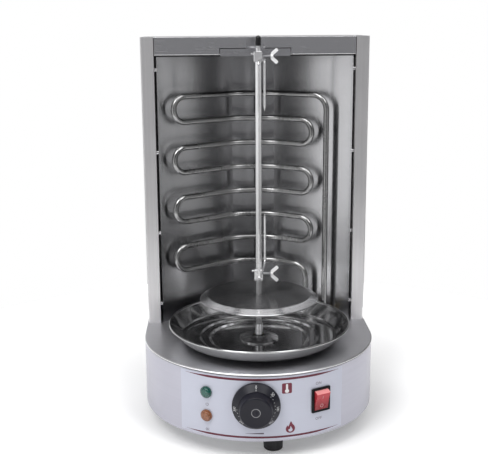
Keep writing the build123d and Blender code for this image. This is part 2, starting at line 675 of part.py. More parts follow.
# ---------------------------------------------------------------- roof with header
BW = 45.7  # half width of the spit bracket's plate
TAB = 12.0  # half width of the tab that bends forward into its tongue
ZBP = ZD + 370.8  # top of that plate
XR = XO - WALL - 0.2
YR = YC + BACK - WALL - 0.2
with BuildPart() as roof:
    with BuildSketch(Plane.XY.offset(ZT - WALL)):
        with BuildLine():
            Polyline((-XI + 0.2, Y0), (-XI + 0.2, Y0 + WALL + 0.2), (-XR, Y0 + WALL + 0.2), (-XR, YR - 17))
            RadiusArc((-XR, YR - 17), (-XR + 17, YR), 17)
            Line((-XR + 17, YR), (XR - 17, YR))
            RadiusArc((XR - 17, YR), (XR, YR - 17), 17)
            Polyline((XR, YR - 17), (XR, Y0 + WALL + 0.2), (XI - 0.2, Y0 + WALL + 0.2), (XI - 0.2, Y0), (-XI + 0.2, Y0))
        make_face()
    extrude(amount=WALL)
    # header and its hem
    with BuildSketch(Plane(origin=(-XI + 0.9, 0, 0), x_dir=(0, 1, 0), z_dir=(1, 0, 0))):
        with BuildLine():
            Polyline((Y0, ZT - WALL), (Y0, ZH), (Y0 + 9, ZH), (Y0 + 9, ZH + 1), (Y0 + 1, ZH + 1), (Y0 + 1, ZT - WALL), (Y0, ZT - WALL))
        make_face()
    extrude(amount=2 * XI - 1.8)
    # turned-down side and back flanges
    with BuildSketch(Plane.XY.offset(ZT - 12)):
        with Locations((-XR + 0.5, (Y0 + YR - 12) / 2), (XR - 0.5, (Y0 + YR - 12) / 2)):
            Rectangle(1.0, YR - Y0 - 26)
        with Locations((0, YR - 0.5)):
            Rectangle(2 * XR - 40, 1.0)
    extrude(amount=11)
    fillet(roof.edges().filter_by(Axis.X).filter_by(lambda e: abs(e.center().Y - Y0) < 0.01 and abs(e.center().Z - ZT) < 0.01), 0.8)
    fillet(roof.edges().filter_by(Axis.X).filter_by(lambda e: abs(e.center().Y - Y0) < 0.01 and abs(e.center().Z - ZH) < 0.01), 0.8)
    for y in (Y0 + 22, Y0 + 66):
        with BuildSketch(Plane(origin=(-XO - 2, y, ZT - 6.5), x_dir=(0, 1, 0), z_dir=(1, 0, 0))):
            Circle(1.7)
        extrude(amount=2 * XO + 4, mode=Mode.SUBTRACT)
    with BuildSketch(Plane(origin=(0, YC + BACK - 4, ZT - 6.5), x_dir=(-1, 0, 0), z_dir=(0, 1, 0))):
        with Locations((-80, 0), (80, 0)):
            Circle(1.7)
    extrude(amount=8, mode=Mode.SUBTRACT)
    # lanced slot along the top and ends of the bracket plate
    with BuildSketch(Plane(origin=(0, Y0 - 0.5, 0), x_dir=(1, 0, 0), z_dir=(0, -1, 0))):
        for s in (-1, 1):
            with Locations((s * (TAB + BW + 0.9) / 2, ZBP + 0.45)):
                Rectangle(BW + 0.9 - TAB, 0.9)
            with Locations((s * (BW + 0.45), (ZH + 1.4 + ZBP + 0.9) / 2)):
                Rectangle(0.9, ZBP + 0.9 - ZH - 1.4)
    extrude(amount=-1.6, mode=Mode.SUBTRACT)
    # rivet holes for the spit bracket
    with BuildSketch(Plane(origin=(0, Y0 - 2, ZH + 4.5), x_dir=(1, 0, 0), z_dir=(0, 1, 0))):
        with Locations((-34, 0), (34, 0)):
            Circle(1.7)
    extrude(amount=4, mode=Mode.SUBTRACT)
save(roof, "roof")

with BuildPart() as roof_screws:
    for s in (-1, 1):
        for y in (Y0 + 22, Y0 + 66):
            with BuildSketch(Plane(origin=(s * XO, y, ZT - 6.5), x_dir=(0, 1, 0), z_dir=(s, 0, 0))):
                Circle(2.9)
            extrude(amount=0.9)
            with BuildSketch(Plane(origin=(s * XO, y, ZT - 6.5), x_dir=(0, 1, 0), z_dir=(s, 0, 0))):
                Circle(1.5)
            extrude(amount=-5)
    with BuildSketch(Plane(origin=(0, YC + BACK, ZT - 6.5), x_dir=(-1, 0, 0), z_dir=(0, 1, 0))):
        with Locations((-80, 0), (80, 0)):
            Circle(2.9)
    extrude(amount=1.6)
    with BuildSketch(Plane(origin=(0, YC + BACK, ZT - 6.5), x_dir=(-1, 0, 0), z_dir=(0, 1, 0))):
        with Locations((-80, 0), (80, 0)):
            Circle(1.5)
    extrude(amount=-5)
save(roof_screws, "roof_screws")

with BuildPart() as ceiling:
    with BuildSketch(Plane.XY.offset(ZH - 2.0)):
        with BuildLine():
            Polyline(
                (-XE - 1.0, Y0 + 1.5), (XE + 1.0, Y0 + 1.5), (XE + 1.0, Y0 + 16), (XL + 3, YL + 4),
                (-XL - 3, YL + 4), (-XE - 1.0, Y0 + 16), (-XE - 1.0, Y0 + 1.5),
            )
        make_face()
    extrude(amount=2.0)
save(ceiling, "ceiling_plate")

# ---------------------------------------------------------------- reflector
T = 0.8
CLIP_X = 6.5
with BuildPart() as reflector:
    with BuildSketch(Plane.XY.offset(ZD)):
        with BuildLine() as front_line:
            Polyline((-XE, Y0 + 16), (-XE, YE), (-XL, YL), (XL, YL), (XE, YE), (XE, Y0 + 16))
            offset(amount=T, side=Side.LEFT)
        make_face()
    extrude(amount=ZH - 2.0 - ZD)
    for z in (ZD + 25, ZD + 125, ZD + 235, ZD + 344):
        with BuildSketch(Plane(origin=(-XE - 3, Y0 + 11.5, z), x_dir=(0, 1, 0), z_dir=(1, 0, 0))):
            Circle(1.7)
        extrude(amount=6, mode=Mode.SUBTRACT)
        with BuildSketch(Plane(origin=(XE + 3, Y0 + 11.5, z), x_dir=(0, 1, 0), z_dir=(-1, 0, 0))):
            Circle(1.7)
        extrude(amount=6, mode=Mode.SUBTRACT)
    # clip stud holes
    with BuildSketch(Plane(origin=(CLIP_X, YL - 2, ZD), x_dir=(1, 0, 0), z_dir=(0, 1, 0))):
        with Locations((0, -292.1), (0, -190.7), (0, -89.3)):
            Circle(2.2)
    extrude(amount=6, mode=Mode.SUBTRACT)
save(reflector, "reflector")

SCREW_Z = (ZD + 25, ZD + 125, ZD + 235, ZD + 344)
with BuildPart() as spacers:
    for sx in (-1, 1):
        for z in SCREW_Z:
            with BuildSketch(Plane(origin=(sx * XE, Y0 + 11.5, z), x_dir=(0, 1, 0), z_dir=(sx, 0, 0))):
                Circle(2.8)
                Circle(1.7, mode=Mode.SUBTRACT)
            extrude(amount=XI - XE)
save(spacers, "reflector_spacers")

with BuildPart() as reflector_screws:
    for sx in (-1, 1):
        for z in SCREW_Z:
            with BuildSketch(Plane(origin=(sx * (XE - T), Y0 + 11.5, z), x_dir=(0, 1, 0), z_dir=(sx, 0, 0))):
                Circle(1.5)
            extrude(amount=9)
            with BuildSketch(Plane(origin=(sx * (XI + WALL), Y0 + 11.5, z), x_dir=(0, 1, 0), z_dir=(sx, 0, 0))):
                RegularPolygon(3.2, 6)
            extrude(amount=2.4)
            with BuildSketch(Plane(origin=(sx * (XE - T), Y0 + 11.5, z), x_dir=(0, 1, 0), z_dir=(-sx, 0, 0))):
                Circle(2.6)
            extrude(amount=1.6)
save(reflector_screws, "reflector_screws")

# ---------------------------------------------------------------- heating element
RUN1 = ZD + 309.0
PITCH = 33.8
RUNS = [RUN1 - PITCH * i for i in range(8)]
UR = PITCH / 2
UL_T = 105.5 - UR  # left turn tangent point, from the fold
UR_T = 68.0 - UR  # right turn tangent point
BEND = 45.0  # bend radius at the folds
RC1, RC8 = 20.0, 20.0
xf = XL - OFF * math.tan(TH / 2)  # fold corner of the tube's plane
yf = YL - OFF
tl = BEND * math.tan(TH / 2)


def fold_points(z):
    """Bend start, middle and end at the left fold; mirrored for the right."""
    p_out = (-xf - CT * tl, yf - ST * tl, z)
    p_in = (-xf + tl, yf, z)
    cx, cy = -xf + tl, yf - BEND
    a = math.pi / 2 + TH / 2
    p_mid = (cx + BEND * math.cos(a), cy + BEND * math.sin(a), z)
    return p_out, p_mid, p_in


def mirror_x(p):
    return (-p[0], p[1], p[2])


with BuildLine() as element_path:
    k = math.sqrt(0.5)
    Line((*legs[0], ZD - 20), (*legs[0], RUN1 - RC1))
    ThreePointArc(
        on_right(LEG_LONG, RUN1 - RC1),
        on_right(LEG_LONG - RC1 + RC1 * k, RUN1 - RC1 + RC1 * k),
        on_right(LEG_LONG - RC1, RUN1),
    )
    for i, z in enumerate(RUNS):
        o, m, n = fold_points(z)
        left_end = on_left(UL_T, z)
        right_end = on_right(UR_T, z)
        if i == 0:
            right_end = on_right(LEG_LONG - RC1, z)
        if i == 7:
            right_end = on_right(LEG_SHORT - RC8, z)
        steps = [right_end, mirror_x(o), mirror_x(m), mirror_x(n), n, m, o, left_end]
        if i % 2 == 1:
            steps = steps[::-1]
        Line(steps[0], steps[1])
        ThreePointArc(steps[1], steps[2], steps[3])
        Line(steps[3], steps[4])
        ThreePointArc(steps[4], steps[5], steps[6])
        Line(steps[6], steps[7])
        if i < 7:
            side, u = (on_left, UL_T) if i % 2 == 0 else (on_right, UR_T)
            ThreePointArc(side(u, z), side(u + UR, z - UR), side(u, z - PITCH))
    z8 = RUNS[7]
    ThreePointArc(
        on_right(LEG_SHORT - RC8, z8),
        on_right(LEG_SHORT - RC8 + RC8 * k, z8 - RC8 + RC8 * k),
        on_right(LEG_SHORT, z8 - RC8),
    )
    Line((*legs[1], z8 - RC8), (*legs[1], ZD - 20))

with BuildPart() as element:
    with BuildSketch(Plane(origin=(*legs[0], ZD - 20), z_dir=(0, 0, 1))):
        Circle(TUBE)
    sweep(path=element_path.wires()[0])
save(element, "heating_element")

with BuildPart() as bushings:
    for x, y in legs:
        with BuildSketch(Plane.XY.offset(ZD)):
            with Locations((x, y)):
                RegularPolygon(8.4, 6)
                Circle(TUBE + 0.15, mode=Mode.SUBTRACT)
        extrude(amount=4.0)
        with BuildSketch(Plane.XY.offset(ZD)):
            with Locations((x, y)):
                Circle(5.8)
                Circle(TUBE + 0.15, mode=Mode.SUBTRACT)
        extrude(amount=-9.0)
save(bushings, "element_bushings")

with BuildPart() as terminals:
    for x, y in legs:
        with BuildSketch(Plane.XY.offset(ZD - 20)):
            with Locations((x, y)):
                Circle(3.4)
        extrude(amount=-6)
        with BuildSketch(Plane.XY.offset(ZD - 26)):
            with Locations((x, y)):
                Circle(1.6)
        extrude(amount=-12)
save(terminals, "element_terminals")

CLIP_Z = [ZD + 292.1, ZD + 190.7, ZD + 89.3]
with BuildPart() as clips:
    for z in CLIP_Z:
        # front bar over two runs, stud back to the panel, nut on the bar
        with BuildSketch(Plane(origin=(CLIP_X, YL - OFF - TUBE - 0.25, z), x_dir=(1, 0, 0), z_dir=(0, -1, 0))):
            SlotOverall(46, 9, rotation=90)
        extrude(amount=1.2)
        with BuildSketch(Plane(origin=(CLIP_X, YL + T + 4, z), x_dir=(1, 0, 0), z_dir=(0, -1, 0))):
            Circle(2.0)
        extrude(amount=OFF + TUBE + 0.25 + T + 8.2)
        with BuildSketch(Plane(origin=(CLIP_X, YL - OFF - TUBE - 1.45, z), x_dir=(1, 0, 0), z_dir=(0, -1, 0))):
            RegularPolygon(4.0, 6)
        extrude(amount=2.4)
        with BuildSketch(Plane(origin=(CLIP_X, YL + T, z), x_dir=(1, 0, 0), z_dir=(0, 1, 0))):
            RegularPolygon(4.0, 6)
        extrude(amount=2.4)
        with BuildSketch(Plane(origin=(CLIP_X, YL, z), x_dir=(1, 0, 0), z_dir=(0, -1, 0))):
            Circle(3.6)
        extrude(amount=5.0)
save(clips, "element_clips")

# ---------------------------------------------------------------- sensing bulb and its capillary
with BuildPart() as bulb:
    with BuildSketch(Plane(origin=(-60, YC + 127, ZD + 150), z_dir=(0, 0, 1))):
        Circle(3.0)
    extrude(amount=-90)
    fillet(bulb.faces().filter_by(Axis.Z).edges(), 1.4)
    with BuildLine() as cap_path:
        FilletPolyline(
            (-60, YC + 127, ZD + 60), (-60, YC + 127, 45), (-60, YC + 111, 45), (-105, YC + 60, 45), (-105, YC - 40, 45),
            (-30, YC - 80, 60), (-9.5, YC - 108, 60),
            radius=8,
        )
    with BuildSketch(Plane(origin=cap_path.line @ 0, z_dir=cap_path.line % 0)):
        Circle(1.0)
    sweep(path=cap_path.line)
save(bulb, "sensing_bulb")

# ---------------------------------------------------------------- top support of the spit
ZBR = ZD + 375.3  # top of the tongue
JOURNAL = 2.95  # radius of the round neck of the spit in the tongue
with BuildPart() as bracket:
    with BuildSketch(Plane(origin=(0, Y0, ZD + 361.2), x_dir=(1, 0, 0), z_dir=(0, -1, 0))):
        with Locations((0, 4.8)):
            RectangleRounded(2 * BW, 9.6, 1.2)
        with Locations((0, (5.0 + ZBR - ZD - 361.2) / 2)):
            Rectangle(2 * TAB, ZBR - ZD - 361.2 - 5.0)
    extrude(amount=1.5)
    with BuildSketch(Plane.XY.offset(ZBR - 1.5)):
        with BuildLine():
            Polyline((TAB, Y0), (TAB, Y0 - 8), (11, YS + 12), (11, YS))
            ThreePointArc((11, YS), (0, YS - 11), (-11, YS))
            Polyline((-11, YS), (-11, YS + 12), (-TAB, Y0 - 8), (-TAB, Y0), (TAB, Y0))
        make_face()
        with Locations((0, YS)):
            Circle(JOURNAL + 0.3, mode=Mode.SUBTRACT)
        with Locations((0, YS - 8)):
            Rectangle(2 * JOURNAL + 0.6, 16, mode=Mode.SUBTRACT)
    extrude(amount=1.5)
    with BuildSketch(Plane(origin=(0, Y0 - 4, ZH + 4.5), x_dir=(1, 0, 0), z_dir=(0, 1, 0))):
        with Locations((-34, 0), (34, 0)):
            Circle(1.7)
    extrude(amount=6, mode=Mode.SUBTRACT)
save(bracket, "spit_bracket")

with BuildPart() as rivets:
    # flush on the plate, set behind the header
    with BuildSketch(Plane(origin=(0, Y0 - 1.5, ZH + 4.5), x_dir=(1, 0, 0), z_dir=(0, 1, 0))):
        with Locations((-34, 0), (34, 0)):
            Circle(1.7)
    extrude(amount=2.5)
    with BuildSketch(Plane(origin=(0, Y0 + 1.0, ZH + 4.5), x_dir=(1, 0, 0), z_dir=(0, 1, 0))):
        with Locations((-34, 0), (34, 0)):
            Circle(2.6)
    extrude(amount=1.2)
save(rivets, "bracket_rivets")

# ---------------------------------------------------------------- spit
ROD_TOP = ZD + 369.2
with BuildPart() as spit_rod:
    with BuildSketch(spit_plane(ZD + 7.8, ROD_TURN)):
        Rectangle(ROD, ROD)
    extrude(amount=ROD_TOP - ZD - 7.8)
    with BuildSketch(spit_plane(ROD_TOP)):
        Circle(JOURNAL)
    extrude(amount=ZD + 376.0 - ROD_TOP)
    with BuildSketch(spit_plane(ZD + 376.0)):
        Circle(2.25)
    extrude(amount=10.0)
    chamfer(spit_rod.faces().sort_by(Axis.Z)[0].edges(), 0.5)
save(spit_rod, "spit_rod")

with BuildPart() as spit_cap:
    with BuildSketch(Plane.XZ.offset(-YS)):
        with BuildLine():
            z0 = ZD + 376.0
            Polyline((2.25, z0), (3.3, z0), (3.3, z0 + 9.8), (2.4, z0 + 11.4), (0.8, z0 + 11.4), (0.5, z0 + 12.8), (0, z0 + 12.8), (0, ZD + 386.0), (2.25, ZD + 386.0), (2.25, z0))
        make_face()
    revolve(axis=Axis((0, YS, 0), (0, 0, 1)))
save(spit_cap, "spit_cap")

ZP = ZD + 63.5  # height the disc and its stop are set out from
ZT0 = ZP - 1.8  # top of the disc
with BuildPart() as disc:
    with BuildSketch(Plane.XZ.offset(-YS)):
        with BuildLine():
            # flat middle and a brim that slopes down all round
            Polyline(
                (0, ZT0), (65.4, ZT0), (66.5, ZT0 - 0.2), (75.5, ZT0 - 4.75), (76.2, ZT0 - 5.3), (76.0, ZT0 - 5.8),
                (75.1, ZT0 - 5.8), (66.1, ZT0 - 1.55), (65.2, ZT0 - 1.4), (0, ZT0 - 1.4), (0, ZT0),
            )
        make_face()
    revolve(axis=Axis((0, YS, 0), (0, 0, 1)))
    with BuildSketch(Plane.XY.offset(ZP - 9.2)):
        with Locations((0, YS)):
            Circle(9)
    extrude(amount=6.0)
    with BuildSketch(spit_plane(ZP - 20, ROD_TURN)):
        Rectangle(ROD + 0.6, ROD + 0.6)
    extrude(amount=40, mode=Mode.SUBTRACT)
save(disc, "meat_disc")

with BuildPart() as disc_stop:
    with BuildSketch(Plane.XY.offset(ZP - 17.2)):
        with Locations((0, YS)):
            Circle(8)
    extrude(amount=8)
    fillet(disc_stop.faces().sort_by(Axis.Z)[0].edges(), 1.0)
    with BuildSketch(spit_plane(ZP - 20, ROD_TURN)):
        Rectangle(ROD, ROD)
    extrude(amount=40, mode=Mode.SUBTRACT)
    with BuildSketch(spit_side(ZP - 13.2, ROD / 2, ROD_TURN)):
        Circle(1.6)
    extrude(amount=10, mode=Mode.SUBTRACT)
save(disc_stop, "disc_stop")

with BuildPart() as stop_screw:
    with BuildSketch(spit_side(ZP - 13.2, ROD / 2, ROD_TURN)):
        Circle(1.6)
    extrude(amount=6.2)
save(stop_screw, "stop_screw")

PRONG = 44.0  # prong to rod, along the bar
SIDE = 4.2  # the bar runs past the rod on the side of the wing bolt
WIRE_R = 1.5
SLEEVE = 10.4  # side of the square sleeve
BORE = 3.75  # its round bore, which clears the corners of the rod
for name, zc, up, bolt_up, pin_up in (("lower", ZD + 87.3, 1, 1.5, 6.0), ("upper", ZD + 363.3, -1, 0.5, 3.4)):
    half = 7.5 if name == "lower" else 6.3
    bolt_z = zc + bolt_up
    bar_z = zc + 4.2 * up
    with BuildPart() as fork:
        with BuildSketch(spit_plane(zc - half)):
            RectangleRounded(SLEEVE, SLEEVE, 1.0)
        extrude(amount=2 * half)
        chamfer(fork.faces().sort_by(Axis.Z)[0].edges() + fork.faces().sort_by(Axis.Z)[-1].edges(), 0.4)
        for s in (-1, 1):
            base = spit_plane(bar_z)
            with BuildLine(Plane(base.from_local_coords(Vector(SIDE, 0, 0)), x_dir=base.y_dir, z_dir=base.x_dir)):
                # local x runs along the bar, local y runs along Z
                FilletPolyline((s * 4.6, 0), (s * PRONG, 0), (s * PRONG, up * 60.0), radius=6)
            with BuildSketch(Plane(base.from_local_coords(Vector(SIDE, s * 4.6, 0)), z_dir=base.y_dir * s)):
                Circle(WIRE_R)
            sweep()
            tip = base.from_local_coords(Vector(SIDE, s * PRONG, up * 60.0))
            with BuildSketch(Plane(tip, z_dir=(0, 0, up))):
                Circle(WIRE_R)
            extrude(amount=6.5, taper=11.0)
        # short pin on the other side of the sleeve
        with BuildSketch(spit_side(zc + pin_up - (1.5 if name == "lower" else 0.0), -SLEEVE / 2 + 0.8)):
            Circle(1.2)
        extrude(amount=-4.4)
        with BuildSketch(spit_plane(zc - 20)):
            Circle(BORE)
        extrude(amount=40, mode=Mode.SUBTRACT)
        with BuildSketch(spit_side(bolt_z, 0)):
            Circle(1.55)
        extrude(amount=20, mode=Mode.SUBTRACT)
    save(fork, name + "_fork")

    with BuildPart() as bolt:
        with BuildSketch(spit_side(bolt_z, BORE + 0.1)):
            Circle(1.5)
        extrude(amount=11.4)
        with BuildSketch(spit_side(bolt_z, 14.8)):
            Circle(2.4)
        extrude(amount=3.6, taper=5)
        wing = Plane(spit_side(bolt_z, 0).origin, x_dir=spit_plane(0).x_dir, z_dir=spit_plane(0).y_dir * -1)
        long, mid = (12.0, (19.9, 5.4)) if name == "lower" else (10.6, (19.6, 4.9))
        with BuildSketch(wing.offset(-1.1)):
            for s in (-1, 1):
                with Locations((mid[0], s * mid[1])):
                    RectangleRounded(long, 4.2, 1.3, rotation=s * 41)
            with Locations((16.6, 0)):
                Rectangle(2.8, 5.4)
        extrude(amount=2.2)
    save(bolt, name + "_wing_bolt")

# ---------------------------------------------------------------- drip pan
RP = 117.0  # outside of the rolled rim
ZR = ZD + 25.4  # top of the rim
with BuildPart() as pan:
    with BuildSketch(Plane.XZ.offset(-YS)):
        with BuildLine():
            # inside of the bowl: flat middle, two small pressed steps in the floor, steep wall
            FilletPolyline(
                (13.0, ZD + 0.9), (61.7, ZD + 0.9), (65.7, ZD + 3.2), (74.4, ZD + 3.6), (77.8, ZD + 5.4), (99.0, ZD + 7.0),
                (115.0, ZR - 1.3), radius=[2.6, 2.6, 2.6, 2.6, 8],
            )
            offset(amount=0.9, side=Side.RIGHT)
        make_face()
        with Locations((RP - 1.3, ZR - 1.3)):
            Circle(1.3)
    revolve(axis=Axis((0, YS, 0), (0, 0, 1)))
save(pan, "drip_pan")

with BuildPart() as dome:
    with BuildSketch(Plane.XZ.offset(-YS)):
        with BuildLine():
            z = ZD + 0.9
            Polyline((25.4, z), (25.4, z + 1.6))
            ThreePointArc((25.4, z + 1.6), (16.5, z + 4.4), (7.2, z + 5.2))
            Line((7.2, z + 5.2), (7.2, z + 4.4))
            ThreePointArc((7.2, z + 4.4), (16.2, z + 3.6), (24.4, z + 1.1))
            Polyline((24.4, z + 1.1), (24.4, z), (25.4, z))
        make_face()
    revolve(axis=Axis((0, YS, 0), (0, 0, 1)))
save(dome, "pan_dome")
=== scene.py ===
import math

import bmesh
import bpy
from mathutils import Matrix, Vector


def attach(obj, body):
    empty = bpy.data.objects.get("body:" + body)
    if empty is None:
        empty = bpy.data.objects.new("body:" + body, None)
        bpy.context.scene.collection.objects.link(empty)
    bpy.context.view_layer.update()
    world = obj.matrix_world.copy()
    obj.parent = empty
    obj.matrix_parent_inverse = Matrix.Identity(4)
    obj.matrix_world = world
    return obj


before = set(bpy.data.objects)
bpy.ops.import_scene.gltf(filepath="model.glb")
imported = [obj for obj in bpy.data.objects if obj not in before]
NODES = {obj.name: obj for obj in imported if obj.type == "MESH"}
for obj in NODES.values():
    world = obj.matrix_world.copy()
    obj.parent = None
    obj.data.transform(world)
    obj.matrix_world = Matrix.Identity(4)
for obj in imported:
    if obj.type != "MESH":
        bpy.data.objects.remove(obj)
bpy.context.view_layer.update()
MM = 0.001

# Sizes shared with the construction, mm
YC = 12.6  # centre of the round front of the base
R_LABEL = 150.3  # front of the printed plate
ZD = 109.0  # top of the deck
YS = -13.4  # spit axis
KNOB_A, KNOB_Z = -3.8, 71.0
R = 150.0  # round front of the base
SW_A, SW_Z, SW_P = 27.05, 69.8, 149.4
LAMP_A = -27.3


# ------------------------------------------------------------------ shader helpers
def material(name):
    mat = bpy.data.materials.new(name)
    mat.use_nodes = True
    nt = mat.node_tree
    nt.nodes.clear()
    out = nt.nodes.new("ShaderNodeOutputMaterial")
    bsdf = nt.nodes.new("ShaderNodeBsdfPrincipled")
    nt.links.new(bsdf.outputs["BSDF"], out.inputs["Surface"])
    return mat, nt, bsdf


def coords(nt, scale=(1, 1, 1), loc=(0, 0, 0)):
    tc = nt.nodes.new("ShaderNodeTexCoord")
    mp = nt.nodes.new("ShaderNodeMapping")
    mp.inputs["Scale"].default_value = scale
    mp.inputs["Location"].default_value = loc
    nt.links.new(tc.outputs["Object"], mp.inputs["Vector"])
    return mp.outputs["Vector"]


def rings(nt, cx, cy, kr, ka, kz):
    """(radius, angle, height) about an upright axis, each with its own frequency."""
    tc = nt.nodes.new("ShaderNodeTexCoord")
    sub = nt.nodes.new("ShaderNodeVectorMath")
    sub.operation = "SUBTRACT"
    sub.inputs[1].default_value = (cx * MM, cy * MM, 0)
    nt.links.new(tc.outputs["Object"], sub.inputs[0])
    sep = nt.nodes.new("ShaderNodeSeparateXYZ")
    nt.links.new(sub.outputs[0], sep.inputs[0])
    flat = nt.nodes.new("ShaderNodeCombineXYZ")
    nt.links.new(sep.outputs["X"], flat.inputs["X"])
    nt.links.new(sep.outputs["Y"], flat.inputs["Y"])
    ln = nt.nodes.new("ShaderNodeVectorMath")
    ln.operation = "LENGTH"
    nt.links.new(flat.outputs[0], ln.inputs[0])
    rr = math_node(nt, "MULTIPLY", ln.outputs["Value"], kr)
    nrm = nt.nodes.new("ShaderNodeVectorMath")
    nrm.operation = "NORMALIZE"
    nt.links.new(flat.outputs[0], nrm.inputs[0])
    s2 = nt.nodes.new("ShaderNodeSeparateXYZ")
    nt.links.new(nrm.outputs[0], s2.inputs[0])
    # direction as two smooth numbers, so no seam shows
    ax = math_node(nt, "MULTIPLY", s2.outputs["X"], ka)
    ay = math_node(nt, "MULTIPLY", s2.outputs["Y"], ka)
    zz = math_node(nt, "MULTIPLY", sep.outputs["Z"], kz)
    first = math_node(nt, "ADD", rr, zz)
    out = nt.nodes.new("ShaderNodeCombineXYZ")
    nt.links.new(first, out.inputs["X"])
    nt.links.new(ax, out.inputs["Y"])
    nt.links.new(ay, out.inputs["Z"])
    return out.outputs[0]


def math_node(nt, op, a, b=None, clamp=False):
    n = nt.nodes.new("ShaderNodeMath")
    n.operation = op
    n.use_clamp = clamp
    for i, v in enumerate((a, b)):
        if v is None:
            continue
        if isinstance(v, (int, float)):
            n.inputs[i].default_value = v
        else:
            nt.links.new(v, n.inputs[i])
    return n.outputs[0]


def noise(nt, vec, scale=1.0, detail=3.0, rough=0.55, dist=0.0):
    n = nt.nodes.new("ShaderNodeTexNoise")
    n.inputs["Scale"].default_value = scale
    n.inputs["Detail"].default_value = detail
    n.inputs["Roughness"].default_value = rough
    n.inputs["Distortion"].default_value = dist
    nt.links.new(vec, n.inputs["Vector"])
    return n.outputs[0]


def spread(nt, fac, lo, hi, a=0.3, b=0.7):
    n = nt.nodes.new("ShaderNodeMapRange")
    n.inputs["From Min"].default_value = a
    n.inputs["From Max"].default_value = b
    n.inputs["To Min"].default_value = lo
    n.inputs["To Max"].default_value = hi
    nt.links.new(fac, n.inputs["Value"])
    return n.outputs["Result"]


def ramp(nt, fac, *stops):
    n = nt.nodes.new("ShaderNodeValToRGB")
    el = n.color_ramp.elements
    el[0].position, el[0].color = stops[0][0], (*stops[0][1], 1)
    el[1].position, el[1].color = stops[-1][0], (*stops[-1][1], 1)
    for p, c in stops[1:-1]:
        e = el.new(p)
        e.color = (*c, 1)
    nt.links.new(fac, n.inputs["Fac"])
    return n.outputs["Color"]


def bump(nt, bsdf, height, strength, distance):
    n = nt.nodes.new("ShaderNodeBump")
    n.inputs["Strength"].default_value = strength
    n.inputs["Distance"].default_value = distance
    nt.links.new(height, n.inputs["Height"])
    nt.links.new(n.outputs["Normal"], bsdf.inputs["Normal"])


def times(c, k):
    return tuple(min(1.0, x * k) for x in c)


GRAIN = {
    "h": ((16, 16, 2600), (3, 3, 330)),  # level lines on upright walls
    "v": ((2600, 2600, 16), (330, 330, 3)),  # upright lines
    "x": ((16, 2600, 2600), (3, 330, 330)),  # lines along X on level sheets
}


def brushed(name, base, rough, along="h", contrast=0.10, swing=0.16, depth=0.25, smudge=0.05, aniso=0.0, turn=0.0, centre=None, rim_highlight=None, hem_highlight=None, groove_shade_below=None):
    """Brushed or spun stainless sheet: fine grain, wider streaks and faint handling marks."""
    mat, nt, b = material(name)
    if along == "spun":
        fine_v = rings(nt, centre[0], centre[1], 1900, 1.2, 1900)
        wide_v = rings(nt, centre[0], centre[1], 240, 0.7, 240)
    else:
        fine_v = coords(nt, GRAIN[along][0])
        wide_v = coords(nt, GRAIN[along][1], (3.7, 1.9, 5.3))
    fine = noise(nt, fine_v, 1.0, 3.0, 0.6)
    wide = noise(nt, wide_v, 1.0, 2.0, 0.5)
    mark = noise(nt, coords(nt, (14, 14, 14)), 1.0, 4.0, 0.6, 0.4)
    both = math_node(nt, "ADD", math_node(nt, "MULTIPLY", fine, 0.45), math_node(nt, "MULTIPLY", wide, 0.55))
    col = ramp(nt, both, (0.30, times(base, 1 - contrast)), (0.52, base), (0.72, times(base, 1 + contrast)))
    if rim_highlight or hem_highlight:
        # painted highlight: a brighter colour on the turned rim where the sheet stands upright, or on the hem where it
        # turns under
        tc = nt.nodes.new("ShaderNodeTexCoord")
        sep_n = nt.nodes.new("ShaderNodeSeparateXYZ")
        nt.links.new(tc.outputs["Normal"], sep_n.inputs[0])
        rim = nt.nodes.new("ShaderNodeMix")
        rim.data_type = "RGBA"
        if rim_highlight:
            nt.links.new(spread(nt, math_node(nt, "ABSOLUTE", sep_n.outputs["Z"]), 1.0, 0.0, 0.90, 0.97), rim.inputs[0])
        else:
            nt.links.new(spread(nt, sep_n.outputs["Z"], 1.0, 0.0, -0.25, -0.05), rim.inputs[0])
        nt.links.new(col, rim.inputs[6])
        rim.inputs[7].default_value = (*(rim_highlight or hem_highlight), 1)
        col = rim.outputs[2]
    if groove_shade_below is not None:
        # painted shade: near-black colour in the seam groove below this height, where shadow falls
        pos = nt.nodes.new("ShaderNodeSeparateXYZ")
        nt.links.new(coords(nt, (1000, 1000, 1000)), pos.inputs[0])
        low = nt.nodes.new("ShaderNodeMix")
        low.data_type = "RGBA"
        nt.links.new(spread(nt, pos.outputs["Z"], 1.0, 0.0, groove_shade_below - 0.05, groove_shade_below + 0.05), low.inputs[0])
        nt.links.new(col, low.inputs[6])
        nt.links.new(ramp(nt, mark, (0.3, (0.020, 0.020, 0.022)), (0.7, (0.035, 0.035, 0.037))), low.inputs[7])
        col = low.outputs[2]
    nt.links.new(col, b.inputs["Base Color"])
    b.inputs["Metallic"].default_value = 1.0
    if aniso:
        b.inputs["Anisotropic"].default_value = aniso
        b.inputs["Anisotropic Rotation"].default_value = turn
        tan = nt.nodes.new("ShaderNodeTangent")
        tan.direction_type = "RADIAL"
        tan.axis = "Z"
        nt.links.new(tan.outputs[0], b.inputs["Tangent"])
    r1 = spread(nt, fine, rough - swing / 2, rough + swing / 2)
    r2 = spread(nt, mark, -smudge, smudge, 0.35, 0.65)
    nt.links.new(math_node(nt, "ADD", r1, r2, True), b.inputs["Roughness"])
    if depth:
        bump(nt, b, fine, depth, 0.00002)
    return mat


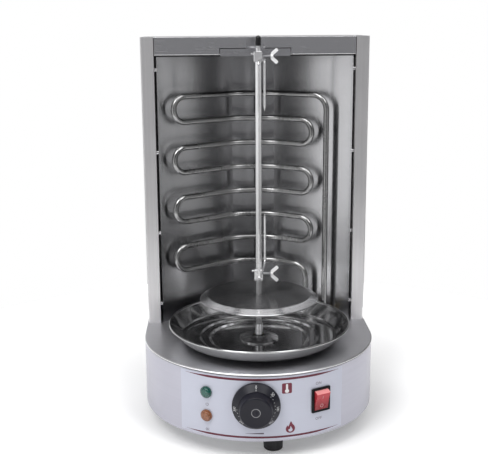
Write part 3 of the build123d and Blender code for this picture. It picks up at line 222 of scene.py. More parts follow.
def cold_rolled(name, base, rough, bands=0.10, swing=0.05, aniso=0.0, painted_shade=None):
    """Smooth cold-rolled sheet: soft upright rolling bands, a dull mirror and a few wipe marks.
    With aniso, reflections smear up and down and stay sharp from side to side.
    With the painted shade (low, high, share, left, right) the sheet is painted darker low down, a painted shade that
    fades out to the right."""
    mat, nt, b = material(name)
    roll = noise(nt, coords(nt, (26, 26, 0.6), (2.3, 0.7, 0.0)), 1.0, 2.0, 0.5)
    fine = noise(nt, coords(nt, (420, 420, 7)), 1.0, 3.0, 0.6)
    wipe = noise(nt, coords(nt, (9, 9, 5)), 1.0, 5.0, 0.65, 1.2)
    both = math_node(nt, "ADD", math_node(nt, "MULTIPLY", roll, 0.75), math_node(nt, "MULTIPLY", fine, 0.25))
    col = ramp(nt, both, (0.30, times(base, 1 - bands)), (0.52, base), (0.72, times(base, 1 + bands)))
    # painted shade: darker colour low down, fading out to the right
    if painted_shade:
        low, high, share, left, right = painted_shade
        pos = nt.nodes.new("ShaderNodeSeparateXYZ")
        nt.links.new(coords(nt, (1000, 1000, 1000)), pos.inputs[0])
        mix = nt.nodes.new("ShaderNodeMix")
        mix.data_type = "RGBA"
        nt.links.new(math_node(nt, "MULTIPLY", spread(nt, pos.outputs["Z"], 1.0, 0.0, low, high), spread(nt, pos.outputs["X"], 1.0, 0.0, left, right)), mix.inputs[0])
        nt.links.new(col, mix.inputs[6])
        nt.links.new(ramp(nt, wipe, (0.3, times(base, share * 0.94)), (0.7, times(base, share * 1.06))), mix.inputs[7])
        col = mix.outputs[2]
    nt.links.new(col, b.inputs["Base Color"])
    b.inputs["Metallic"].default_value = 1.0
    if aniso:
        b.inputs["Anisotropic"].default_value = aniso
        b.inputs["Anisotropic Rotation"].default_value = 0.25
        tan = nt.nodes.new("ShaderNodeTangent")
        tan.direction_type = "RADIAL"
        tan.axis = "Z"
        nt.links.new(tan.outputs[0], b.inputs["Tangent"])
    r = math_node(nt, "ADD", spread(nt, wipe, rough - swing, rough + swing, 0.35, 0.65), spread(nt, fine, -swing / 2, swing / 2))
    nt.links.new(r, b.inputs["Roughness"])
    bump(nt, b, fine, 0.05, 0.00002)
    return mat


def pressed_pan(name, base, inside, outside, centre):
    """Pressed bowl: mirror-polished above, satin underneath, with faint turning rings."""
    mat, nt, b = material(name)
    tc = nt.nodes.new("ShaderNodeTexCoord")
    sep_n = nt.nodes.new("ShaderNodeSeparateXYZ")
    nt.links.new(tc.outputs["Normal"], sep_n.inputs[0])
    fine = noise(nt, rings(nt, centre[0], centre[1], 900, 1.0, 900), 1.0, 3.0, 0.6)
    wipe = noise(nt, coords(nt, (22, 22, 22)), 1.0, 5.0, 0.62, 0.8)
    nt.links.new(ramp(nt, fine, (0.3, times(base, 0.94)), (0.7, times(base, 1.04))), b.inputs["Base Color"])
    b.inputs["Metallic"].default_value = 1.0
    side = spread(nt, sep_n.outputs["Z"], outside, inside, -0.12, 0.05)
    r = math_node(nt, "ADD", side, spread(nt, wipe, -0.015, 0.03, 0.35, 0.7), True)
    nt.links.new(math_node(nt, "ADD", r, spread(nt, fine, -0.012, 0.012), True), b.inputs["Roughness"])
    bump(nt, b, fine, 0.05, 0.00002)
    return mat


def tinned_print(name, base, rough):
    """Printed face plate: satin lacquer over fine level brush lines."""
    mat, nt, b = material(name)
    fine = noise(nt, coords(nt, (14, 14, 1900)), 1.0, 3.0, 0.6)
    tone = noise(nt, coords(nt, (18, 18, 18)), 1.0, 4.0, 0.6)
    both = math_node(nt, "ADD", math_node(nt, "MULTIPLY", fine, 0.4), math_node(nt, "MULTIPLY", tone, 0.6))
    nt.links.new(ramp(nt, both, (0.3, times(base, 0.965)), (0.7, times(base, 1.03))), b.inputs["Base Color"])
    b.inputs["Metallic"].default_value = 0.15
    b.inputs["Specular IOR Level"].default_value = 0.4
    nt.links.new(spread(nt, both, rough - 0.05, rough + 0.05), b.inputs["Roughness"])
    bump(nt, b, fine, 0.05, 0.00002)
    return mat


def polished(name, base, rough, centre=None, swing=0.05, metal=1.0):
    """Bright plated or mirror-finished metal with faint turning and wipe marks; less metal gives a chalky plating."""
    mat, nt, b = material(name)
    mark = noise(nt, coords(nt, (38, 38, 38)), 1.0, 5.0, 0.62, 0.8)
    fine = noise(nt, rings(nt, centre[0], centre[1], 1500, 1.0, 700) if centre else coords(nt, (900, 900, 160)), 1.0, 2.0, 0.5)
    col = ramp(nt, mark, (0.25, times(base, 0.93)), (0.75, times(base, 1.03)))
    nt.links.new(col, b.inputs["Base Color"])
    b.inputs["Metallic"].default_value = metal
    r = math_node(nt, "ADD", spread(nt, mark, rough - swing / 2, rough + swing), spread(nt, fine, -swing / 3, swing / 3), True)
    nt.links.new(r, b.inputs["Roughness"])
    bump(nt, b, fine, 0.06, 0.00002)
    return mat


def plated(name, base, rough, stem, reach, centre):
    """Dull white plating on a casting, with worn patches; within reach of the axis a bare steel stem."""
    mat, nt, b = material(name)
    worn = noise(nt, coords(nt, (120, 120, 120)), 1.0, 4.0, 0.6)
    sand = noise(nt, coords(nt, (1500, 1500, 1500)), 1.0, 2.0, 0.5)
    out = nt.nodes.new("ShaderNodeSeparateXYZ")
    nt.links.new(rings(nt, centre[0], centre[1], 1000, 0, 0), out.inputs[0])
    mix = nt.nodes.new("ShaderNodeMix")
    mix.data_type = "RGBA"
    nt.links.new(spread(nt, out.outputs["X"], 0.0, 1.0, reach - 0.3, reach + 0.3), mix.inputs[0])
    nt.links.new(ramp(nt, worn, (0.3, times(stem, 0.9)), (0.7, times(stem, 1.1))), mix.inputs[6])
    nt.links.new(ramp(nt, worn, (0.3, times(base, 0.93)), (0.7, times(base, 1.06))), mix.inputs[7])
    nt.links.new(mix.outputs[2], b.inputs["Base Color"])
    nt.links.new(spread(nt, out.outputs["X"], 1.0, 0.25, reach - 0.3, reach + 0.3), b.inputs["Metallic"])
    nt.links.new(spread(nt, worn, rough - 0.08, rough + 0.08), b.inputs["Roughness"])
    bump(nt, b, sand, 0.10, 0.00004)
    return mat


def moulded(name, base, rough, grain=0.12, scale=1400.0, spec=0.5, coat=0.0):
    """Moulded plastic or rubber: fine pebble, slight tone and gloss changes, colour a little darker in the hollows of
    the pebble.
    """
    mat, nt, b = material(name)
    pebble = noise(nt, coords(nt, (scale, scale, scale)), 1.0, 2.0, 0.5)
    tone = noise(nt, coords(nt, (45, 45, 45)), 1.0, 4.0, 0.6)
    both = math_node(nt, "ADD", math_node(nt, "MULTIPLY", pebble, 0.35), math_node(nt, "MULTIPLY", tone, 0.65))
    col = ramp(nt, both, (0.3, times(base, 0.82)), (0.7, times(base, 1.2)))
    nt.links.new(col, b.inputs["Base Color"])
    b.inputs["Specular IOR Level"].default_value = spec
    b.inputs["Coat Weight"].default_value = coat
    b.inputs["Coat Roughness"].default_value = 0.08
    nt.links.new(spread(nt, both, rough - 0.07, rough + 0.07), b.inputs["Roughness"])
    bump(nt, b, pebble, grain, 0.0001)
    return mat


def clear_red(name, front, lit_top, low, high, rough):
    """Clear red switch plastic with painted light: the end face that looks up is painted lighter as a painted
    highlight, and the front is painted darker downward as painted shade.
    """
    mat, nt, b = material(name)
    tone = noise(nt, coords(nt, (60, 60, 60)), 1.0, 4.0, 0.6)
    tc = nt.nodes.new("ShaderNodeTexCoord")
    nrm = nt.nodes.new("ShaderNodeSeparateXYZ")
    nt.links.new(tc.outputs["Normal"], nrm.inputs[0])
    pos = nt.nodes.new("ShaderNodeSeparateXYZ")
    nt.links.new(coords(nt, (1000, 1000, 1000)), pos.inputs[0])
    # painted shade: the front colour darkens downward
    depth = math_node(nt, "ADD", spread(nt, pos.outputs["Z"], 0.0, 0.9, low, high), math_node(nt, "MULTIPLY", tone, 0.1))
    mix = nt.nodes.new("ShaderNodeMix")
    mix.data_type = "RGBA"
    # painted highlight: faces that look up take the lighter colour, as if lit from above
    nt.links.new(spread(nt, nrm.outputs["Z"], 0.0, 1.0, 0.35, 0.55), mix.inputs[0])
    nt.links.new(ramp(nt, depth, (0.0, times(front, 0.35)), (0.95, front)), mix.inputs[6])
    nt.links.new(ramp(nt, tone, (0.3, times(lit_top, 0.95)), (0.7, times(lit_top, 1.05))), mix.inputs[7])
    nt.links.new(mix.outputs[2], b.inputs["Base Color"])
    b.inputs["Specular IOR Level"].default_value = 0.3
    b.inputs["Coat Weight"].default_value = 0.15
    b.inputs["Coat Roughness"].default_value = 0.08
    nt.links.new(spread(nt, tone, rough - 0.05, rough + 0.05), b.inputs["Roughness"])
    return mat


def printed(name, base, rough=0.42):
    """Screen-printed ink: slightly uneven cover."""
    mat, nt, b = material(name)
    cover = noise(nt, coords(nt, (2600, 2600, 2600)), 1.0, 2.0, 0.6)
    tone = noise(nt, coords(nt, (160, 160, 160)), 1.0, 3.0, 0.6)
    both = math_node(nt, "ADD", math_node(nt, "MULTIPLY", cover, 0.5), math_node(nt, "MULTIPLY", tone, 0.5))
    nt.links.new(ramp(nt, both, (0.3, times(base, 0.85)), (0.7, times(base, 1.12))), b.inputs["Base Color"])
    nt.links.new(spread(nt, cover, rough - 0.06, rough + 0.06), b.inputs["Roughness"])
    return mat


def lens(name, deep, bright):
    """Coloured lamp lens: clear skin over a moulded prism pattern."""
    mat, nt, b = material(name)
    facet = nt.nodes.new("ShaderNodeTexVoronoi")
    facet.inputs["Scale"].default_value = 520.0
    nt.links.new(coords(nt), facet.inputs["Vector"])
    tone = noise(nt, coords(nt, (240, 240, 240)), 1.0, 3.0, 0.6)
    both = math_node(nt, "ADD", math_node(nt, "MULTIPLY", facet.outputs["Distance"], 0.8), math_node(nt, "MULTIPLY", tone, 0.5))
    nt.links.new(ramp(nt, both, (0.25, deep), (0.75, bright)), b.inputs["Base Color"])
    b.inputs["Transmission Weight"].default_value = 0.15
    b.inputs["IOR"].default_value = 1.49
    b.inputs["Coat Weight"].default_value = 0.55
    b.inputs["Coat Roughness"].default_value = 0.04
    nt.links.new(spread(nt, tone, 0.16, 0.30), b.inputs["Roughness"])
    bump(nt, b, facet.outputs["Distance"], 0.25, 0.0004)
    return mat


# ------------------------------------------------------------------ finishes
STEEL = (0.66, 0.66, 0.675)
M = {}
M["skirt_steel"] = brushed("skirt_steel", (0.45, 0.447, 0.505), 0.36, "h", 0.035, 0.08, 0.10, 0.03, 0.6, 0.25)
# painted highlight on the deck's rolled edge, painted shade in the groove beneath it
M["deck_steel"] = brushed("deck_steel", (0.74, 0.74, 0.77), 0.38, "x", 0.04, 0.06, 0.08, 0.015, rim_highlight=(0.97, 0.97, 0.98), groove_shade_below=ZD - 1.7)
M["shell_steel"] = brushed("shell_steel", (0.72, 0.712, 0.72), 0.44, "v", 0.05, 0.08, 0.10, 0.03, 0.75, 0.0)
# painted highlight on the header's turned-under hem
M["roof_steel"] = brushed("roof_steel", (0.60, 0.60, 0.62), 0.24, "x", 0.025, 0.05, 0.05, 0.02, 0.5, 0.25, hem_highlight=(0.95, 0.95, 0.955))
# painted shade: the ceiling plate is near black so that its front edge under the header reads as a dark shadow line
M["ceiling_painted_shade"] = brushed("ceiling_painted_shade", (0.055, 0.055, 0.057), 0.40, "x", 0.05, 0.08, 0.10, 0.03)
# painted shade on the liner: darker low down and to the left, fading out to the right
M["reflector_steel"] = cold_rolled("reflector_steel", (0.39, 0.39, 0.40), 0.24, 0.08, 0.02, 1.0, (ZD + 50, ZD + 170, 0.55, 20, 80))
M["bracket_steel"] = brushed("bracket_steel", (0.52, 0.52, 0.54), 0.24, "x", 0.05, 0.08, 0.10, 0.02)
M["clip_steel"] = brushed("clip_steel", (0.33, 0.33, 0.335), 0.42, "v", 0.06, 0.10, 0.10, 0.05)
M["zinc_steel"] = brushed("zinc_steel", (0.50, 0.51, 0.53), 0.42, "x", 0.10, 0.12, 0.15, 0.08)
M["screw_steel"] = polished("screw_steel", (0.66, 0.66, 0.67), 0.24)
M["wing_bright"] = plated("wing_bright", (0.86, 0.86, 0.865), 0.38, (0.30, 0.30, 0.31), 15.6, (0, YS))
M["socket_steel"] = polished("socket_steel", (0.58, 0.58, 0.59), 0.22, (0, YS))
M["spit_chrome"] = polished("spit_chrome", (0.80, 0.80, 0.81), 0.18, metal=0.82)
# painted highlight on the disc's sloped brim and rim
M["disc_steel"] = brushed("disc_steel", (0.33, 0.328, 0.335), 0.24, "spun", 0.04, 0.04, 0.03, 0.0, 0.9, 0.25, (0, YS), (0.57, 0.57, 0.58))
M["pan_steel"] = pressed_pan("pan_steel", (0.54, 0.54, 0.545), 0.10, 0.34, (0, YS))
M["dome_steel"] = polished("dome_steel", (0.46, 0.46, 0.465), 0.20, (0, YS), 0.04)
M["bulb_copper"] = polished("bulb_copper", (0.72, 0.40, 0.26), 0.30)
M["bush_brass"] = polished("bush_brass", (0.74, 0.58, 0.30), 0.28)
M["element_sheath"] = brushed("element_sheath", (0.29, 0.29, 0.29), 0.27, "v", 0.10, 0.10, 0.10, 0.08)
M["foot_rubber"] = moulded("foot_rubber", (0.010, 0.010, 0.012), 0.62, 0.25, 1500)
M["black_plastic"] = moulded("black_plastic", (0.018, 0.018, 0.019), 0.42, 0.15)
M["knob_plastic"] = moulded("knob_plastic", (0.010, 0.010, 0.016), 0.36, 0.06, 1800, 0.27)
M["cap_black"] = moulded("cap_black", (0.006, 0.006, 0.007), 0.45, 0.10, 1400, 0.3)
# painted highlight on the rocker's up-facing end, painted shade darkening its front downward
M["rocker_plastic"] = clear_red("rocker_plastic", (0.46, 0.034, 0.048), (0.78, 0.29, 0.29), ZD - 54, ZD - 34, 0.28)
M["switch_black"] = moulded("switch_black", (0.005, 0.005, 0.006), 0.50, 0.08, 1400, 0.15)
M["wire_pvc"] = moulded("wire_pvc", (0.42, 0.05, 0.03), 0.40, 0.05)
M["terminal_ceramic"] = moulded("terminal_ceramic", (0.72, 0.70, 0.64), 0.45, 0.10)
M["green_lens"] = lens("green_lens", (0.002, 0.026, 0.021), (0.005, 0.10, 0.075))
M["amber_lens"] = lens("amber_lens", (0.11, 0.033, 0.009), (0.29, 0.10, 0.033))
M["label_print"] = tinned_print("label_print", (0.50, 0.515, 0.595), 0.42)
M["ink_maroon"] = printed("ink_maroon", (0.10, 0.004, 0.020))
M["ink_red"] = printed("ink_red", (0.145, 0.007, 0.026))
M["ink_grey"] = printed("ink_grey", (0.11, 0.09, 0.115))
M["ink_dim"] = printed("ink_dim", (0.22, 0.22, 0.23))
M["ink_rocker"] = printed("ink_rocker", (0.46, 0.26, 0.27))
M["ink_figures"] = printed("ink_figures", (0.50, 0.50, 0.51))
M["ink_white"] = printed("ink_white", (0.72, 0.72, 0.72))

FINISH = {
    "skirt_steel": ["base_skirt"],
    "deck_steel": ["deck"],
    "shell_steel": ["outer_shell"],
    "roof_steel": ["roof"],
    "ceiling_painted_shade": ["ceiling_plate"],
    "reflector_steel": ["reflector"],
    "zinc_steel": ["floor_plate", "motor_plate", "tower_brackets", "motor_standoffs", "gearbox"],
    "screw_steel": ["foot_screws", "floor_screws", "thermostat_nut", "motor_screws", "tower_screws", "roof_screws", "reflector_spacers", "reflector_screws", "stop_screw"],
    "bracket_steel": ["spit_bracket", "bracket_rivets"],
    "clip_steel": ["element_clips"],
    "foot_rubber": ["feet"],
    "label_print": ["control_label"],
    "green_lens": ["green_lamp"],
    "amber_lens": ["amber_lamp"],
    "black_plastic": ["lamp_bodies", "thermostat_body", "cable_gland", "gland_nut", "motor", "terminal_block"],
    "switch_black": ["switch_housing"],
    "knob_plastic": ["thermostat_knob"],
    "rocker_plastic": ["switch_rocker"],
    "wire_pvc": ["wiring"],
    "element_sheath": ["heating_element"],
    "bush_brass": ["shaft_bush", "element_bushings"],
    "terminal_ceramic": ["element_terminals"],
    "bulb_copper": ["sensing_bulb"],
    "spit_chrome": ["spit_rod", "lower_fork", "upper_fork"],
    "wing_bright": ["lower_wing_bolt", "upper_wing_bolt"],
    "socket_steel": ["drive_socket", "drive_shaft", "thermostat_shaft", "disc_stop"],
    "cap_black": ["spit_cap"],
    "disc_steel": ["meat_disc"],
    "pan_steel": ["drip_pan"],
    "dome_steel": ["pan_dome"],
}
for slot_name, members in FINISH.items():
    for n in members:
        o = NODES[n]
        if not o.material_slots:
            o.data.materials.append(M[slot_name])
        for s in o.material_slots:
            s.material = M[slot_name]


# ------------------------------------------------------------------ small mesh helpers
def piece(name, mesh, mat, body):
    o = bpy.data.objects.new(name, mesh)
    bpy.context.scene.collection.objects.link(o)
    mesh.materials.clear()
    mesh.materials.append(mat)
    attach(o, body)
    return o


def flat_shape(loops, thick):
    """A thin plate from closed 2D loops in mm; inner loops are holes. Plate z runs 0 to thick."""
    cu = bpy.data.curves.new("shape_tmp", "CURVE")
    cu.dimensions = "2D"
    cu.fill_mode = "BOTH"
    cu.extrude = thick / 2
    for loop in loops:
        sp = cu.splines.new("POLY")
        sp.points.add(len(loop) - 1)
        for p, (x, y) in zip(sp.points, loop):
            p.co = (x, y, 0, 1)
        sp.use_cyclic_u = True
    return as_mesh(cu, thick)


def flat_text(text, height, thick, spacing=1.0):
    cu = bpy.data.curves.new("text_tmp", "FONT")
    cu.body = text
    cu.size = height / 0.69
    cu.align_x = "CENTER"
    cu.align_y = "CENTER"
    cu.space_character = spacing
    cu.extrude = thick / 2
    cu.resolution_u = 4
    return as_mesh(cu, thick)


def as_mesh(cu, thick):
    tmp = bpy.data.objects.new("tmp", cu)
    bpy.context.scene.collection.objects.link(tmp)
    dg = bpy.context.evaluated_depsgraph_get()
    dg.update()
    me = bpy.data.meshes.new_from_object(tmp.evaluated_get(dg))
    bpy.data.objects.remove(tmp)
    for v in me.vertices:
        v.co.z += thick / 2
    bm = bmesh.new()
    bm.from_mesh(me)
    bmesh.ops.remove_doubles(bm, verts=bm.verts, dist=1e-5)
    bm.to_mesh(me)
    bm.free()
    return me


def join(meshes):
    bm = bmesh.new()
    for me in meshes:
        bm.from_mesh(me)
    out = bpy.data.meshes.new("joined")
    bm.to_mesh(out)
    bm.free()
    for me in meshes:
        bpy.data.meshes.remove(me)
    return out


def shift(me, dx=0.0, dy=0.0, turn=0.0, dz=0.0):
    c, s = math.cos(turn), math.sin(turn)
    for v in me.vertices:
        x, y = v.co.x, v.co.y
        v.co = (c * x - s * y + dx, s * x + c * y + dy, v.co.z + dz)
    return me


def cut_fine(me, step):
    """Extra cuts across the width, so that a plate can follow a round wall."""
    bm = bmesh.new()
    bm.from_mesh(me)
    xs = [v.co.x for v in bm.verts]
    x = math.floor(min(xs) / step) * step + step
    while x < max(xs):
        g = list(bm.verts) + list(bm.edges) + list(bm.faces)
        bmesh.ops.bisect_plane(bm, geom=g, dist=1e-6, plane_co=(x, 0, 0), plane_no=(1, 0, 0))
        x += step
    bm.to_mesh(me)
    bm.free()
    return me


def on_wall(me, angle, z, r=R_LABEL):
    """Lays a plate on the round front: x runs along the wall, y up, z outward."""
    cut_fine(me, 1.2)
    for v in me.vertices:
        a = math.radians(angle) + v.co.x / r
        d = r + v.co.z
        v.co = Vector((d * math.sin(a), YC - d * math.cos(a), z + v.co.y)) * MM
    me.update()
    return me


def on_plane(me, angle, z, d):
    """Lays a plate on a flat square to the front panel."""
    a = math.radians(angle)
    o = Vector((d * math.sin(a), YC - d * math.cos(a), z))
    xd = Vector((math.cos(a), math.sin(a), 0))
    nd = Vector((math.sin(a), -math.cos(a), 0))
    for v in me.vertices:
        v.co = (o + xd * v.co.x + Vector((0, 0, 1)) * v.co.y + nd * v.co.z) * MM
    me.update()
    return me


def circle(r, n=40, cx=0.0, cy=0.0):
    return [(cx + r * math.cos(2 * math.pi * i / n), cy + r * math.sin(2 * math.pi * i / n)) for i in range(n)]


def rounded(w, h, r, n=6):
    pts = []
    for cx, cy, a0 in ((w / 2 - r, h / 2 - r, 0), (-w / 2 + r, h / 2 - r, 90), (-w / 2 + r, -h / 2 + r, 180), (w / 2 - r, -h / 2 + r, 270)):
        for i in range(n + 1):
            a = math.radians(a0 + 90 * i / n)
            pts.append((cx + r * math.cos(a), cy + r * math.sin(a)))
    return pts


def smooth_loop(pts, n=8):
    """Closed Catmull-Rom loop through the points."""
    out = []
    k = len(pts)
    for i in range(k):
        p0, p1, p2, p3 = (Vector(pts[(i + j) % k]) for j in (-1, 0, 1, 2))
        for s in range(n):
            t = s / n
            q = 0.5 * ((2 * p1) + (p2 - p0) * t + (2 * p0 - 5 * p1 + 4 * p2 - p3) * t * t + (3 * p1 - p0 - 3 * p2 + p3) * t ** 3)
            out.append((q.x, q.y))
    return out


def stroke(pts, width):
    """A band of even width along an open line."""
    left, right = [], []
    for i, p in enumerate(pts):
        a = Vector(pts[max(0, i - 1)])
        b = Vector(pts[min(len(pts) - 1, i + 1)])
        t = (b - a).normalized()
        nrm = Vector((-t.y, t.x)) * width / 2
        q = Vector(p)
        left.append(tuple(q + nrm))
        right.append(tuple(q - nrm))
    return left + right[::-1]


# ------------------------------------------------------------------ printing on the front plate
INK = 0.05
for nm, z, half, phi0, phi1 in (("label_line_top", ZD - 6.5, 1.45, -38.5, 37.5), ("label_line_bottom", ZD - 79.7, 1.25, -38.5, 37.5)):
    bm = bmesh.new()
    rows = []
    steps = 90
    for i in range(steps + 1):
        t = i / steps
        a = math.radians(phi0 + (phi1 - phi0) * t)
        end = min(1.0, min(t, 1 - t) / 0.16)
        h = half * max(0.10, end)
        ring = []
        for d, zz in ((R_LABEL + 0.005, -h), (R_LABEL + INK, -h), (R_LABEL + INK, h), (R_LABEL + 0.005, h)):
            ring.append(bm.verts.new(Vector((d * math.sin(a), YC - d * math.cos(a), z + zz)) * MM))
        rows.append(ring)
    for q0, q1 in zip(rows, rows[1:]):
        for j in range(4):
            bm.faces.new((q0[j], q1[j], q1[(j + 1) % 4], q0[(j + 1) % 4]))
    bm.faces.new(rows[0])
    bm.faces.new(rows[-1][::-1])
    bmesh.ops.recalc_face_normals(bm, faces=bm.faces)
    me = bpy.data.meshes.new(nm)
    bm.to_mesh(me)
    bm.free()
    piece(nm, me, M["ink_maroon"], "oven")

# temperature sign: a thermometer on a rounded plate
plate = flat_shape([rounded(12.2, 13.0, 1.6)], INK)
piece("sign_temperature_plate", on_wall(plate, 10.2, ZD - 18.5), M["ink_red"], "oven")
thermo = [(-1.25, 4.6), (-1.0, 5.1), (0, 5.4), (1.0, 5.1), (1.25, 4.6), (1.25, -1.7)]
bulb = [(2.5 * math.sin(math.radians(a)), -3.4 - 2.5 * -math.cos(math.radians(a))) for a in range(35, 330, 12)]
thermo = thermo + bulb + [(-1.25, -1.7)]
me = flat_shape([thermo], 0.03)
shift(me, dz=INK)
piece("sign_temperature_mark", on_wall(me, 10.2, ZD - 18.5), M["ink_white"], "oven")

# heat sign: a plain flame
outer = smooth_loop([(0.6, 7.4), (2.5, 4.2), (5.0, 1.0), (5.7, -2.6), (4.0, -6.0), (0.0, -7.4), (-4.1, -6.0), (-5.8, -2.4), (-4.8, 0.9), (-3.3, 2.4), (-2.5, 0.9), (-1.3, 3.6)])
inner = smooth_loop([(0.3, 1.2), (1.5, -1.0), (2.7, -3.2), (1.9, -5.2), (0.0, -5.9), (-1.9, -5.2), (-2.6, -3.4), (-1.7, -2.4), (-0.7, -2.2)])
me = flat_shape([outer, inner], INK)
piece("sign_flame", on_wall(me, 11.9, ZD - 68.5), M["ink_red"], "oven")

# switch words
for nm, txt, a, z in (("word_on", "ON", 25.9, ZD - 18.1), ("word_off", "OFF", 26.1, ZD - 63.4)):
    me = flat_text(txt, 3.4, INK, 1.1)
    piece(nm, on_wall(me, a, z), M["ink_grey"], "oven")

# small signs under the lamps: mains and heat
ring = []
for i in range(33):
    a = math.radians(125 + 290 * i / 32)
    ring.append((1.75 * math.cos(a), 1.75 * math.sin(a)))
me = join([flat_shape([stroke(ring, 0.5)], INK), flat_shape([[(-0.26, 0.2), (0.26, 0.2), (0.26, 2.3), (-0.26, 2.3)]], INK)])
piece("sign_mains", on_wall(me, -27.0, ZD - 42.7), M["ink_grey"], "oven")
waves = []
for dx in (-1.7, 0.0, 1.7):
    waves.append(flat_shape([stroke([(dx + 0.45 * math.sin(2 * math.pi * t / 12), -1.9 + 3.8 * t / 18) for t in range(19)], 0.5)], INK))
piece("sign_heating", on_wall(join(waves), -27.0, ZD - 75.0), M["ink_grey"], "oven")
# a rising wedge under the dial
me = flat_shape([[(-11, -0.35), (11, -0.95), (11, 0.95), (-11, -0.15)]], INK)
piece("sign_rising", on_wall(me, -4.6, ZD - 74.6), M["ink_grey"], "oven")

# ------------------------------------------------------------------ dial figures on the knob
CONE_IN, CONE_OUT = (21.2, 11.4), (28.3, 5.3)  # radius and height above the panel
slope = (CONE_OUT[1] - CONE_IN[1]) / (CONE_OUT[0] - CONE_IN[0])
lean = math.hypot(1.0, slope)


def circle_through(p, q, s):
    ax, ay, bx, by, cx, cy = *p, *q, *s
    d = 2 * (ax * (by - cy) + bx * (cy - ay) + cx * (ay - by))
    ux = ((ax * ax + ay * ay) * (by - cy) + (bx * bx + by * by) * (cy - ay) + (cx * cx + cy * cy) * (ay - by)) / d
    uy = ((ax * ax + ay * ay) * (cx - bx) + (bx * bx + by * by) * (ax - cx) + (cx * cx + cy * cy) * (bx - ax)) / d
    return ux, uy, math.hypot(ax - ux, ay - uy)


def on_knob(me, height):
    """Lays a plate on the turned knob; height gives the surface and its slope at a radius."""
    a = math.radians(KNOB_A)
    o = Vector((R * math.sin(a), YC - R * math.cos(a), KNOB_Z))
    xd = Vector((math.cos(a), math.sin(a), 0))
    nd = Vector((math.sin(a), -math.cos(a), 0))
    for v in me.vertices:
        q = Vector((v.co.x, v.co.y))
        r = q.length
        h, k = height(r)
        lift = (v.co.z + 0.012) / math.hypot(1.0, k)
        q *= (r - k * lift) / r
        v.co = (o + xd * q.x + Vector((0, 0, 1)) * q.y + nd * (h + lift)) * MM
    me.update()
    return me


def cone(r):
    return CONE_IN[1] + slope * (r - CONE_IN[0]), slope


BALL = (17.2 ** 2 + 1.2 ** 2) / 2.4


def dish(r):
    root = math.sqrt(BALL * BALL - r * r)
    return 23.7 + BALL - root, r / root


parts = []
RF, RDOT = 25.5, 22.7
figures = [("0", 0)] + [(str(50 * (i + 1)), 50 + 43.0 * i) for i in range(6)]
for txt, deg in figures:
    me = flat_text(txt, 3.2 if len(txt) < 3 else 3.0, 0.06, 0.95)
    cut_fine(me, 0.7)
    shift(me, 0, RF, 0)
    parts.append(shift(me, 0, 0, -math.radians(deg)))
degs = [f[1] for f in figures]
for i in range(1, 7):
    for k in range(4 if i < 6 else 1):
        deg = degs[i] + 43.0 * k / 4
        me = flat_shape([circle(0.42, 12)], 0.06)
        shift(me, 0, RDOT, 0)
        parts.append(shift(me, 0, 0, -math.radians(deg)))
me = flat_shape([[(-0.3, -0.7), (0.3, -0.7), (0.3, 0.7), (-0.3, 0.7)]], 0.06)
parts.append(shift(me, 0, RDOT))
piece("dial_figures", on_knob(join(parts), cone), M["ink_figures"], "knob")
me = cut_fine(flat_shape([circle(5.5, 48), circle(4.7, 48)], 0.06), 1.0)
piece("dial_ring", on_knob(me, dish), M["ink_dim"], "knob")


# ------------------------------------------------------------------ marks on the rocker
rk = 12.6
hi = (rk * math.sin(math.radians(43)), rk * math.cos(math.radians(43)))
lo = (rk * math.sin(math.radians(15)), -rk * math.cos(math.radians(15)))
fx, fy, fr = circle_through(hi, (4.9, -1.2), lo)


def on_rocker(me):
    """The rocker's hollow face: x across, y up, z outward."""
    a = math.radians(SW_A)
    o = Vector((SW_P * math.sin(a), YC - SW_P * math.cos(a), SW_Z))
    xd = Vector((math.cos(a), math.sin(a), 0))
    nd = Vector((math.sin(a), -math.cos(a), 0))
    for v in me.vertices:
        side = -1 if fx > 5 else 1
        out = fx + side * math.sqrt(max(0.0, fr * fr - (v.co.y - fy) ** 2))
        v.co = (o + xd * v.co.x + Vector((0, 0, 1)) * v.co.y + nd * (out + v.co.z)) * MM
    me.update()
    return me


me = flat_shape([circle(2.3, 40, 0, -7.2), circle(1.65, 40, 0, -7.2)], 0.06)
piece("rocker_mark_off", on_rocker(me), M["ink_rocker"], "rocker")
me = flat_shape([[(-0.35, y) for y in (2.2, 3.3, 4.4, 5.5, 6.4)] + [(0.35, y) for y in (6.4, 5.5, 4.4, 3.3, 2.2)]], 0.06)
piece("rocker_mark_on", on_rocker(me), M["ink_rocker"], "rocker")

# ------------------------------------------------------------------ floor, light, camera
bm = bmesh.new()
prev = None
radii = [0.0, 0.12, 0.24, 0.36, 0.5, 0.65]
centre_v = bm.verts.new((0, 0, 0))
for r in radii[1:]:
    ring_v = [bm.verts.new((r * math.cos(2 * math.pi * i / 64), r * math.sin(2 * math.pi * i / 64), 0)) for i in range(64)]
    for i in range(64):
        j = (i + 1) % 64
        if prev is None:
            bm.faces.new((centre_v, ring_v[i], ring_v[j]))
        else:
            bm.faces.new((prev[i], ring_v[i], ring_v[j], prev[j]))
    prev = ring_v
me = bpy.data.meshes.new("floor")
bm.to_mesh(me)
bm.free()
floor = bpy.data.objects.new("floor", me)
bpy.context.scene.collection.objects.link(floor)
fm, nt, b = material("floor_paint")
tone = noise(nt, coords(nt, (5, 5, 5)), 1.0, 4.0, 0.6)
nt.links.new(ramp(nt, tone, (0.3, (0.86, 0.86, 0.865)), (0.7, (0.89, 0.89, 0.89))), b.inputs["Base Color"])
far = nt.nodes.new("ShaderNodeVectorMath")
far.operation = "LENGTH"
nt.links.new(coords(nt), far.inputs[0])
nt.links.new(spread(nt, far.outputs["Value"], 0.18, 0.80, 0.15, 0.5), b.inputs["Emission Strength"])
b.inputs["Emission Color"].default_value = (1, 1, 1, 1)
nt.links.new(spread(nt, tone, 0.65, 0.8), b.inputs["Roughness"])
